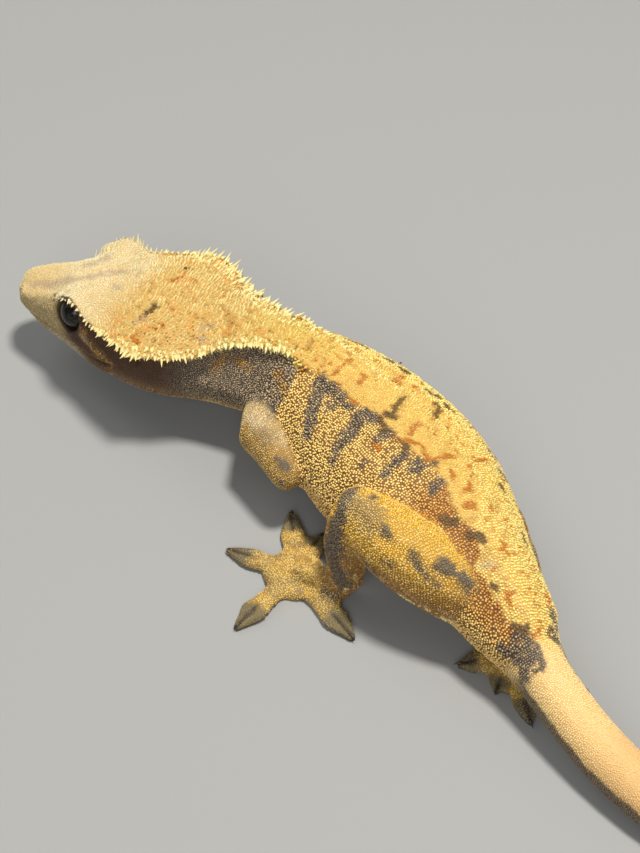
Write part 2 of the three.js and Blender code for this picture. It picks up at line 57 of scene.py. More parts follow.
trunkNodes = ["head", "neck", "torso", "tail_base", "tail_middle", "tail_tip"]
limbNodes = [f"{part}_{side}" for side in ("left", "right")
             for part in ("upper_arm", "forearm", "hand", "thigh", "shin", "foot")]
fleshNodes = trunkNodes + limbNodes
partNumber = {name: i for i, name in enumerate(fleshNodes)}
eyeNodes = {"eye_left": 1, "eye_right": -1}  # 1 on the left of the spine, -1 on its right


# Small tools for points and colours

def unit(vectors):
    return vectors / np.maximum(np.linalg.norm(vectors, axis=-1, keepdims=True), 1e-9)


def smoothStep(value, low, high):
    t = np.clip((value - low) / (high - low), 0, 1)
    return t * t * (3 - 2 * t)


def hump(value, middle, half):  # 1 at the middle, fading to nothing about twice the half width away
    return np.exp(-((value - middle) / half) ** 2)


def tone(red, green, blue):  # a colour as a painter's chart gives it, 0 to 255
    c = np.array([red, green, blue]) / 255
    return np.where(c > 0.04045, ((c + 0.055) / 1.055) ** 2.4, c / 12.92)


def mixTones(first, second, share):
    share = np.asarray(share)[..., None]
    return first * (1 - share) + second * share


cellPrimes = (374761393, 668265263, 1274126177)
seedPrime = 974634777
lowBits = 0xFFFFFFFF


def scatter(cells, seed):  # the same draw from 0 to 1 for the same cell, every run
    h = sum(cells[..., k] * cellPrimes[k] for k in range(3)) + seed * seedPrime
    h = (h ^ (h >> 13)) & lowBits
    h = (h * cellPrimes[2]) & lowBits
    h = (h ^ (h >> 16)) & lowBits
    return h / lowBits


def draws(count, seed):  # one draw from 0 to 1 for each thing in a row
    return scatter(np.stack([np.arange(count)] * 3, axis=1), seed)


def cloud(points, grain, seed):  # soft blotches from -1 to 1, about as wide as grain
    p = points / grain
    low = np.floor(p).astype(np.int64)
    f = p - low
    f = f * f * (3 - 2 * f)
    total = np.zeros(len(points))
    for corner in np.ndindex(2, 2, 2):
        weight = np.prod(np.where(np.array(corner), f, 1 - f), axis=1)
        total += weight * scatter(low + np.array(corner), seed)
    return total * 2 - 1


def clouds(points, grain, seed, layers=3):  # blotches with finer ones in them
    total = np.zeros(len(points))
    for layer in range(layers):
        total += cloud(points, grain / 2 ** layer, seed + layer) / 2 ** layer
    return total / 1.5


def readAll(items, key, kind=float, width=3):
    values = np.empty(len(items) * width, kind)
    items.foreach_get(key, values)
    return values.reshape(-1, width)


def readPoints(obj):
    return readAll(obj.data.vertices, "co") * perMetre


def readNormals(obj):
    return readAll(obj.data.vertices, "normal")


def readEdges(obj):
    return readAll(obj.data.edges, "vertices", int, 2)


def writePoints(obj, points):
    obj.data.vertices.foreach_set("co", (points / perMetre).ravel())
    obj.data.update()


def addObject(name, data):
    obj = bpy.data.objects.new(name, data)
    scene.collection.objects.link(obj)
    return obj


def makePiece(name, points, faces):
    mesh = bpy.data.meshes.new(name)
    mesh.from_pydata((np.asarray(points) / perMetre).tolist(), [], [[int(i) for i in f] for f in faces])
    mesh.update()
    return addObject(name, mesh)


def selectOnly(obj):
    bpy.ops.object.select_all(action="DESELECT")
    obj.select_set(True)
    bpy.context.view_layer.objects.active = obj


def applyAll(obj):
    selectOnly(obj)
    for modifier in list(obj.modifiers):
        bpy.ops.object.modifier_apply(modifier=modifier.name)


def editWhole(obj, step):  # one step in edit mode, on the whole mesh
    selectOnly(obj)
    bpy.ops.object.mode_set(mode="EDIT")
    bpy.ops.mesh.select_all(action="SELECT")
    step()
    bpy.ops.object.mode_set(mode="OBJECT")


def turnOutwards(obj):
    editWhole(obj, lambda: bpy.ops.mesh.normals_make_consistent(inside=False))
    bpy.ops.object.shade_smooth()


coatLayer = "coat"  # the colours that the materials read


def paint(obj, colours):  # one colour for each point
    layer = obj.data.color_attributes.new(coatLayer, "FLOAT_COLOR", "POINT")
    rgba = np.ones((len(colours), 4), np.float32)
    rgba[:, :3] = colours
    layer.data.foreach_set("color", rgba.ravel())


def finishPiece(obj, material, slot, *nodes):
    obj.data.materials.clear()
    obj.data.materials.append(material)
    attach(obj, "root")
    if nodes:
        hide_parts(*nodes)


# Camera, light and floor

cameraSetup = {
    "place": (-150.822, 97.945, 181.665),  # from the animal's zero point
    "towards": (0.6033, -0.3918, -0.6947),
    "right": (-0.5446, -0.8387, 0.0),
    "lens": 73.857,
    "sensor": 36,
    "nearest": 0.01,  # in metres
}


def addCamera():
    data = bpy.data.cameras.new("camera")
    data.lens = cameraSetup["lens"]
    data.sensor_width = cameraSetup["sensor"]
    data.clip_start = cameraSetup["nearest"]
    forward = Vector(cameraSetup["towards"]).normalized()
    right = Vector(cameraSetup["right"]).normalized()
    above = right.cross(forward)
    obj = addObject("camera", data)
    turn = Matrix((right, above, -forward)).transposed().to_4x4()
    obj.matrix_world = Matrix.Translation(Vector((home + cameraSetup["place"]) / perMetre)) @ turn
    scene.camera = obj


studio = {
    "world": (0.86, 0.92, 1.0), "worldStrength": 0.22,
    "floorTone": (150, 150, 147), "floorSize": 3, "floorRoughness": 0.8,
    # name, place in metres from the model, size, watts, colour
    "lamps": [
        ("keyLight", (-0.05, -0.12, 0.76), 0.13, 6.9, (1.0, 0.97, 0.93)),
        ("fillLight", (-0.48, 0.46, 0.46), 0.50, 2.5, (0.97, 0.98, 1.0)),
        ("backLight", (0.45, 0.10, 0.35), 0.35, 0.6, (1.0, 0.98, 0.95)),
    ],
}


def addLamp(name, place, size, watts, colour):
    data = bpy.data.lights.new(name, "AREA")
    data.shape = "DISK"
    data.size = size
    data.energy = watts
    data.color = colour
    lamp = addObject(name, data)
    lamp.location = place
    lamp.rotation_euler = (-Vector(place)).to_track_quat("-Z", "Y").to_euler()


def addFloor():
    bpy.ops.object.select_all(action="DESELECT")
    bpy.ops.mesh.primitive_plane_add(size=studio["floorSize"], location=(0, 0, 0))
    floor = bpy.context.object
    floor.name = "floor"
    material = bpy.data.materials.new("floorPaper")
    material.use_nodes = True
    shader = material.node_tree.nodes["Principled BSDF"]
    shader.inputs["Base Color"].default_value = (*tone(*studio["floorTone"]), 1)
    shader.inputs["Roughness"].default_value = studio["floorRoughness"]
    floor.data.materials.append(material)


def addStudio():
    world = bpy.data.worlds.new("studioWorld")
    world.use_nodes = True
    background = world.node_tree.nodes["Background"]
    background.inputs["Color"].default_value = (*studio["world"], 1)
    background.inputs["Strength"].default_value = studio["worldStrength"]
    scene.world = world
    scene.view_settings.view_transform = "Standard"
    for lamp in studio["lamps"]:
        addLamp(*lamp)
    addFloor()


addCamera()
addStudio()
print("camera, light and floor are in place")


# The spine and the body's own coordinates: distance back from the snout, left of it, above it

spineRoute = [  # the middle of the trunk, from snout to tail tip
    (50.2, 21.7, 9.8), (49.5, 21.3, 9.9), (48.0, 20.5, 10.2), (45.4, 19.1, 10.6), (42.3, 17.4, 11.1),
    (39.2, 15.7, 11.6), (36.8, 14.4, 11.9), (34.2, 13.0, 12.1), (31.6, 11.6, 12.2), (28.8, 10.2, 12.3),
    (25.8, 8.6, 12.3), (22.8, 7.0, 12.2), (19.4, 5.0, 12.0), (15.6, 2.7, 11.8), (11.6, 0.3, 11.6),
    (6.8, -1.9, 11.2), (0.8, -3.2, 10.6), (-6.0, -3.6, 10.2), (-13.5, -3.7, 9.9), (-21.0, -3.5, 9.7),
    (-28.0, -2.9, 9.5), (-34.5, -2.1, 9.3), (-40.0, -1.5, 8.8), (-44.2, -1.0, 8.2), (-48.0, -0.3, 7.5),
    (-52.0, 0.2, 6.7), (-58.5, 0.4, 5.3), (-66.0, 0.0, 4.1), (-75.0, -1.4, 3.5), (-85.0, -4.4, 3.1),
    (-95.0, -9.2, 2.6), (-104.0, -15.6, 2.15), (-111.0, -23.0, 1.7), (-115.5, -31.0, 1.2),
    (-117.5, -37.0, 0.85),
]

spineSteps = 14  # traced points from one point of the route to the next
atOnce = 20000  # places compared with the whole spine at a time


def traceSpine(route):
    knots = np.array(route) + home
    padded = np.vstack([2 * knots[0] - knots[1], knots, 2 * knots[-1] - knots[-2]])
    line = []
    for i in range(len(knots) - 1):
        p0, p1, p2, p3 = padded[i:i + 4]
        for t in np.arange(spineSteps) / spineSteps:
            line.append(0.5 * (2 * p1 + (p2 - p0) * t + (2 * p0 - 5 * p1 + 4 * p2 - p3) * t ** 2
                               + (3 * p1 - p0 - 3 * p2 + p3) * t ** 3))
    return np.array(line + [knots[-1]])


spine = traceSpine(spineRoute)
spineBack = unit(np.gradient(spine, axis=0))
spineLeft = unit(np.cross(spineBack, up))
spineAt = np.concatenate([[0], np.cumsum(np.linalg.norm(np.diff(spine, axis=0), axis=1))])


def bodyPlace(points):
    nearest = np.empty(len(points), int)
    for start in range(0, len(points), atOnce):
        part = points[start:start + atOnce]
        gap = part[:, None, :2] - spine[None, :, :2]
        nearest[start:start + atOnce] = np.argmin((gap ** 2).sum(2), axis=1)
    offset = points - spine[nearest]
    back = (offset * spineBack[nearest]).sum(1)
    left = (offset * spineLeft[nearest]).sum(1)
    return spineAt[nearest] + back, left, offset[:, 2], nearest


def alongSpine(distance, values):
    return np.array([np.interp(distance, spineAt, values[:, k]) for k in range(3)]).T


def spinePoint(distance, left, above):
    side = unit(alongSpine(distance, spineLeft))
    at = alongSpine(distance, spine)
    return at + side * np.asarray(left)[..., None] + up * np.asarray(above)[..., None]


# The crest's edge, sideways and above the spine, at the spine's first points
crestOut = [0.9, 2.0, 3.0, 3.9, 4.8, 7.1, 8.6, 9.7, 10.9, 12.1, 13.2, 11.9, 9.6, 6.2, 4.6, 3.9, 3.6, 4.0, 4.5]
crestUp = [0.5, 1.0, 1.6, 2.1, 2.9, 4.9, 6.1, 3.9, 4.1, 4.4, 4.3, 4.3, 4.4, 6.0, 6.6, 7.3, 7.8, 8.1, 8.4]
crestAt = spineAt[::spineSteps][:len(crestOut)]

# The line of the mouth in side view: back from the snout, above the spine
mouthLine = [(-2, -1.3), (1.5, -1.5), (6, -2.0), (12, -2.8), (18, -3.0), (22, -2.2), (24.5, -1.0)]

pits = {  # nostrils and ears: back, left, above, half width
    "nostril": (1.8, 2.9, 0.7, 0.42),
    "ear": (27.5, 10.6, 1.7, 0.9),
}

feet = {  # middle of each palm, then each toe's direction in degrees and its length
    "hand_left": ((6.4, 0.9), [(-104, 7.2), (-58, 8.0), (-16, 8.6), (26, 8.2), (72, 6.8)]),
    "hand_right": ((8.2, -15.2), [(-118, 7.2), (-66, 7.6), (-24, 8.4), (18, 8.4), (64, 7.2)]),
    "foot_left": ((-16.2, 14.6), [(-60, 8.0), (-30, 11.5), (31, 10.2), (107, 11.9), (182, 13.5)]),
    "foot_right": ((-44.0, -1.4), [(64, 7.2), (14, 7.6), (122, 5.9), (156, 10.7), (208, 10.4)]),
}


def crestHeight(s):
    return np.interp(s, crestAt, crestUp)


def mouthGap(s, above):  # how far a place is from the line of the mouth, in side view
    return above - np.interp(s, *zip(*mouthLine))


def pitDepth(s, left, above):  # 1 in the middle of a nostril or an ear, 0 away from them
    depth = np.zeros(len(s))
    for at, out, over, half in pits.values():
        away = np.sqrt((s - at) ** 2 + (np.abs(left) - out) ** 2 + ((above - over) * 0.7) ** 2)
        depth = np.maximum(depth, np.exp(-(away / half) ** 2))
    return depth


def socketDistance(points):  # how far outside the eyes a place is
    away = np.full(len(points), farAway)
    for node in eyeNodes:
        low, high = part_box(node)
        centre, radius = np.array((low + high) / 2 * perMetre), (high[0] - low[0]) / 2 * perMetre
        away = np.minimum(away, np.linalg.norm(points - centre, axis=1) - radius)
    return away


def toePlace(points, foot):  # share of its nearest toe's length, how far beside its middle, its way
    palm, toes = feet[foot]
    flat = points[:, :2] - home[:2] - palm
    best, share, beside = np.full(len(points), farAway), np.zeros(len(points)), np.zeros(len(points))
    ways = np.zeros((len(points), 2))
    for degrees, length in toes:
        way = np.array([math.cos(math.radians(degrees)), math.sin(math.radians(degrees))])
        along = flat @ way
        off = flat @ np.array([-way[1], way[0]])
        away = np.hypot(off, np.minimum(along, 0))
        closer = away < best
        best = np.where(closer, away, best)
        share = np.where(closer, along / length, share)
        beside = np.where(closer, off, beside)
        ways[closer] = way
    return share, beside, ways


def onFeet(parts):
    return np.isin(parts, [partNumber[name] for name in feet])


# The skin: copies of the solids merged, remeshed as one surface and smoothed

skinSetup = {
    "merge": 1e-6,  # in metres
    "grow": 0.3,  # closes the gaps between the solids
    "cell": 0.375,
    "cellQuick": 0.6,
    "tipCosine": 0.6,  # a corner narrower than this is a spine or claw tip
    "coatDepth": 0.2,  # the skin lies this far inside the solids
    "footDepth": 0.25,  # on hands and feet, as a share of that
    "pushes": (0.6, -0.62),  # in and out again, so that smoothing doesn't shrink the body
    "floorFlat": 0.34,  # whatever is lower than this is pressed flat on the floor
    "sole": 0.02,
    "rounds": {"head": 14, "neck": 22, "torso": 40, "tail": 30, "limb": 30, "foot": 3},
}


def solidsTree():
    corners, faces, owner = [], [], []
    count = 0
    for name in fleshNodes:
        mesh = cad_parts[name].data
        corners += [v.co * perMetre for v in mesh.vertices]
        faces += [[i + count for i in p.vertices] for p in mesh.polygons]
        owner += [partNumber[name]] * len(mesh.polygons)
        count += len(mesh.vertices)
    return BVHTree.FromPolygons(corners, faces), np.array(owner)


def partOf(points, tree, owner):
    found = [tree.find_nearest(Vector(p))[2] for p in points]
    return owner[np.array(found)]


def smoothing(part):
    table = skinSetup["rounds"]
    name = fleshNodes[part]
    if name in table:
        return table[name]
    if name.startswith("tail"):
        return table["tail"]
    return table["foot"] if name.startswith(("hand", "foot")) else table["limb"]


def besideEach(values, edges):  # for each point, the sum of what its neighbours hold
    first, second = edges[:, 0], edges[:, 1]
    n = len(values)
    return np.bincount(first, values[second], n) + np.bincount(second, values[first], n)


def relax(points, edges, rounds):  # each point settles among its neighbours for its own number of rounds
    n = len(points)
    links = np.bincount(edges.ravel(), minlength=n)[:, None]
    for turn in range(int(rounds.max())):
        moving = np.clip(rounds - turn, 0, 1)[:, None]
        for push in skinSetup["pushes"]:
            total = np.stack([besideEach(points[:, k], edges) for k in range(3)], axis=1)
            points = points + moving * push * (total / links - points)
    return points


def spread(values, edges, rounds):  # blurs a number held by each point over its neighbours
    links = np.bincount(edges.ravel(), minlength=len(values)) + 1
    for _ in range(rounds):
        values = (values + besideEach(values, edges)) / links
    return values


def sinkTips(obj):  # spine and claw tips go back to their roots: the scene has its own
    points = readPoints(obj)
    near = [[] for _ in points]
    for edge in obj.data.edges:
        a, b = edge.vertices
        near[a].append(b)
        near[b].append(a)
    sunk = points.copy()
    for i, others in enumerate(near):
        rays = unit(points[others] - points[i])
        if (rays @ unit(rays.mean(0))).min() > skinSetup["tipCosine"]:
            sunk[i] = points[others].mean(0)
    writePoints(obj, sunk)


def keepLargest(points, edges):  # which points hang together with the main body
    label = np.arange(len(points))
    while True:
        lowest = np.minimum(label[edges[:, 0]], label[edges[:, 1]])
        new = label.copy()
        np.minimum.at(new, edges[:, 0], lowest)
        np.minimum.at(new, edges[:, 1], lowest)
        new = new[new]
        if (new == label).all():
            break
        label = new
    return label == np.bincount(label).argmax()


def joinSolids():
    bpy.ops.object.select_all(action="DESELECT")
    copies = []
    for name in fleshNodes:
        twin = addObject("skin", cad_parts[name].data.copy())
        twin.select_set(True)
        copies.append(twin)
    bpy.context.view_layer.objects.active = copies[0]
    bpy.ops.object.join()
    skin = bpy.context.object
    editWhole(skin, lambda: bpy.ops.mesh.remove_doubles(threshold=skinSetup["merge"]))
    return skin


def dropLoose(skin):  # takes out what doesn't hang together with the main body
    loose = ~keepLargest(readPoints(skin), readEdges(skin))
    if loose.any():
        selectOnly(skin)
        skin.data.vertices.foreach_set("select", loose)
        bpy.ops.object.mode_set(mode="EDIT")
        bpy.ops.mesh.select_mode(type="VERT")
        bpy.ops.mesh.delete(type="VERT")
        bpy.ops.object.mode_set(mode="OBJECT")


def makeSkin(tree, owner):
    skin = joinSolids()
    sinkTips(skin)
    swell = skin.modifiers.new("swell", "DISPLACE")
    swell.mid_level = 0
    swell.strength = skinSetup["grow"] / perMetre
    net = skin.modifiers.new("net", "REMESH")
    net.mode = "VOXEL"
    net.voxel_size = skinSetup["cell"] / perMetre
    applyAll(skin)
    dropLoose(skin)
    edges = readEdges(skin)
    points = readPoints(skin)
    parts = partOf(points, tree, owner)
    rounds = np.array([smoothing(p) for p in range(len(fleshNodes))], float)[parts]
    points = relax(points, edges, spread(rounds, edges, 8))
    writePoints(skin, points)
    shallow = (1 - skinSetup["footDepth"]) * spread(onFeet(parts).astype(float), edges, 4)
    inset = skinSetup["grow"] + skinSetup["coatDepth"] * (1 - shallow)
    writePoints(skin, points - readNormals(skin) * inset[:, None])
    return skin, parts


tree, owner = solidsTree()
skin, skinParts = makeSkin(tree, owner)
print("skin points:", len(skin.data.vertices))


# Folds, brows, lips, pits and creases, pressed into the skin or raised from it

folds = [
    # from, to, lowest, highest above the spine, distance between folds, slant, depth
    (50.0, 62.5, -6.5, 5.0, 1.35, 0.30, 0.32),  # behind the arm
    (37.0, 51.0, -6.0, 1.5, 1.15, 0.80, 0.20),  # side of the neck
    (92.0, 100.0, -4.0, 3.0, 1.20, 0.50, 0.10),  # behind the thigh
]

brows = [  # back, left, above, half width, rise
    (15.2, -7.4, 5.6, 2.0, 0.75),
    (12.4, -6.8, 5.2, 1.5, 0.55),
    (15.2, 7.6, 5.6, 2.0, 0.3),
]

reliefSetup = {
    "foldSeed": 151,
    "browHeight": 3,
    "mouthEnd": 24,  # back from the snout
    "lips": (0.12, 0.75, 0.35),  # rise, distance from the line of the mouth, half width
    "groove": (0.42, 0.26),  # depth and half width
    "lowerLip": (0.5, -1.0, 0.7),
    "pits": 0.5,
    "snout": (0.5, 17),  # fuller by this much, up to this far back
    "footGrain": (0.1, 1.3, 191),  # rise, width of a lump, seed
    "padCrease": (0.3, 0.36),
    "padNarrows": 0.6,
    "longerToes": {"foot_left": 0.7},
}


def trunkRelief(points):
    s, left, above, _ = bodyPlace(points)
    depth = np.zeros(len(points))
    for start, end, lowest, highest, apart, slant, deep in folds:
        inside = smoothStep(s, start, start + 3) * smoothStep(end - s, 0, 3)
        inside = inside * smoothStep(above, lowest, lowest + 2) * smoothStep(highest - above, 0, 2)
        phase = (s + slant * above + 0.5 * clouds(points, 3, reliefSetup["foldSeed"])) / apart
        wave = np.abs(np.sin(math.pi * phase)) ** 0.7 - 0.6
        depth += wave * deep * inside * (np.abs(left) > 3)
    gap, end = mouthGap(s, above), reliefSetup["mouthEnd"]
    onMouth = smoothStep(end - s, 0, 2) * (s < end)
    rise, beside, half = reliefSetup["lips"]
    deep, grooveHalf = reliefSetup["groove"]
    depth += onMouth * (rise * hump(np.abs(gap), beside, half) - deep * hump(gap, 0, grooveHalf))
    depth -= reliefSetup["pits"] * pitDepth(s, left, above)
    rise, end = reliefSetup["snout"]
    front = smoothStep(end - s, 0, 7) * smoothStep(socketDistance(points), 0.8, 2.4) * smoothStep(s, -2.5, 3)
    fuller, below, half = reliefSetup["lowerLip"]
    depth += front * rise + onMouth * smoothStep(s, 2, 8) * fuller * hump(gap, below, half)
    for at, out, over, half, rise in brows:
        high = (above - over) / reliefSetup["browHeight"]
        depth += rise * np.exp(-(((s - at) / half) ** 2 + ((left - out) / half) ** 2 + high ** 2))
    return depth


def footRelief(points, name):
    share, beside, _ = toePlace(points, name)
    z = points[:, 2]
    rise, grain, seed = reliefSetup["footGrain"]
    deep, half = reliefSetup["padCrease"]
    onPad = smoothStep(share, 0.62, 0.72) * smoothStep(z, 0.5, 0.9)
    return rise * clouds(points, grain, seed) * (z > 0.7) - deep * hump(beside, 0, half) * onPad


def relief(points, parts):
    depth = trunkRelief(points) * (parts < len(trunkNodes))
    for name in feet:
        mine = parts == partNumber[name]
        depth[mine] += footRelief(points[mine], name)
    return depth


def pointToes(points, parts):  # each pad narrows to a point
    for name in feet:
        mine = np.where(parts == partNumber[name])[0]
        share, beside, way = toePlace(points[mine], name)
        narrow = reliefSetup["padNarrows"] * smoothStep(share, 0.74, 1.02)
        across = np.stack([-way[:, 1], way[:, 0]], axis=1)
        longer = reliefSetup["longerToes"].get(name, 0) * smoothStep(share, 0.7, 1.0)
        points[mine, :2] += way * longer[:, None] - across * (beside * narrow)[:, None]
    return points


def pressFlat(points):
    low = points[:, 2] < skinSetup["floorFlat"]
    points[low, 2] = skinSetup["sole"]
    return points


points = readPoints(skin)
points += readNormals(skin) * relief(points, skinParts)[:, None]
writePoints(skin, pressFlat(pointToes(points, skinParts)))
selectOnly(skin)
bpy.ops.object.shade_smooth()


# Markings and painted shade: what colour a scale and the skin round it have at each place

shades = {
    "snout": tone(210, 194, 142),
    "crownFront": tone(217, 216, 180),
    "crownRear": tone(224, 215, 150),
    "band": tone(226, 218, 127),
    "flank": tone(252, 210, 116),
    "russet": tone(206, 148, 58),
    "flankLow": tone(232, 190, 112),
    "belly": tone(196, 160, 104),
    # the cheek's brown, darkened with painted shade from the crest above it
    "shadedCheek": tone(92, 56, 14),
    "throat": tone(150, 116, 78),
    "arm": tone(186, 152, 76),
    "tan": tone(232, 206, 156),
    "thigh": tone(240, 188, 60),
    "thighLow": tone(150, 104, 38),
    "foot": tone(220, 180, 84),
    "pad": tone(104, 96, 68),
    "tail": tone(238, 213, 152),
    "tailEnd": tone(212, 176, 124),
    "charcoal": tone(142, 124, 98),
    "soot": tone(150, 134, 104),
    "umber": tone(118, 86, 34),
    "ochre": tone(196, 122, 24),
    "lavender": tone(176, 148, 124),
    "gold": tone(196, 152, 62),
    "pale": tone(255, 226, 156),
    "gapBand": tone(200, 146, 60),
    "gapCrown": tone(186, 136, 52),
    "gapFront": tone(192, 158, 98),
    "gapFlank": tone(90, 50, 14),
    "gapRusset": tone(104, 56, 18),
    "gapLimb": tone(92, 54, 14),
    "gapCharcoal": tone(34, 27, 24),
    "gapTail": tone(214, 168, 100),
    # near black: painted shade for the mouth's groove, the eye rims, nostrils, ears and toe creases
    "mouth": tone(40, 24, 14),
    "spineTip": tone(240, 214, 138),
    "iris": tone(24, 22, 19),
    "irisVein": tone(88, 80, 64),
    "eyeRim": tone(24, 20, 17),
    "pupil": tone(8, 7, 7),
    "lip": tone(196, 178, 146),
    "clawRoot": tone(84, 66, 46),
    "clawTip": tone(40, 30, 24),
}

# How far the pale band reaches to the left and to the right, from snout to tail
bandLeft = [
    (0, 2.5), (6, 3.9), (10, 4.9), (14, 7), (20, 9.6), (28, 13), (32, 11.6), (35.5, 9.2), (38, 7.4),
    (40, 5.9), (42, 4.9), (45, 4.0), (52, 3.9), (56, 3.5), (59, 2.6), (64, 3.1), (67.5, 1.7), (71, 2.1),
    (75.5, 2.0), (79, 0.8), (83, 0.7), (86, 1.4), (88, 1.4), (91, 0.5), (93, 1.5), (94.5, 3.1),
    (97.5, 2.4), (99.5, 2.8), (102.5, 2.4), (105, 1.6), (107, 0.7), (109, 2.0), (114, 4),
]
bandRight = [
    (0, 2.5), (6, 4.4), (10, 6.2), (12, 8.4), (14, 10), (20, 12), (28, 14.6), (32, 13.4), (35.5, 11),
    (38, 9.4), (42, 7.6), (46, 7.2), (52, 7.7), (60, 9.6), (70, 10.2), (78, 9.6), (84, 9.0), (92, 7.4),
    (100, 5.6), (106, 3.8), (114, 4),
]

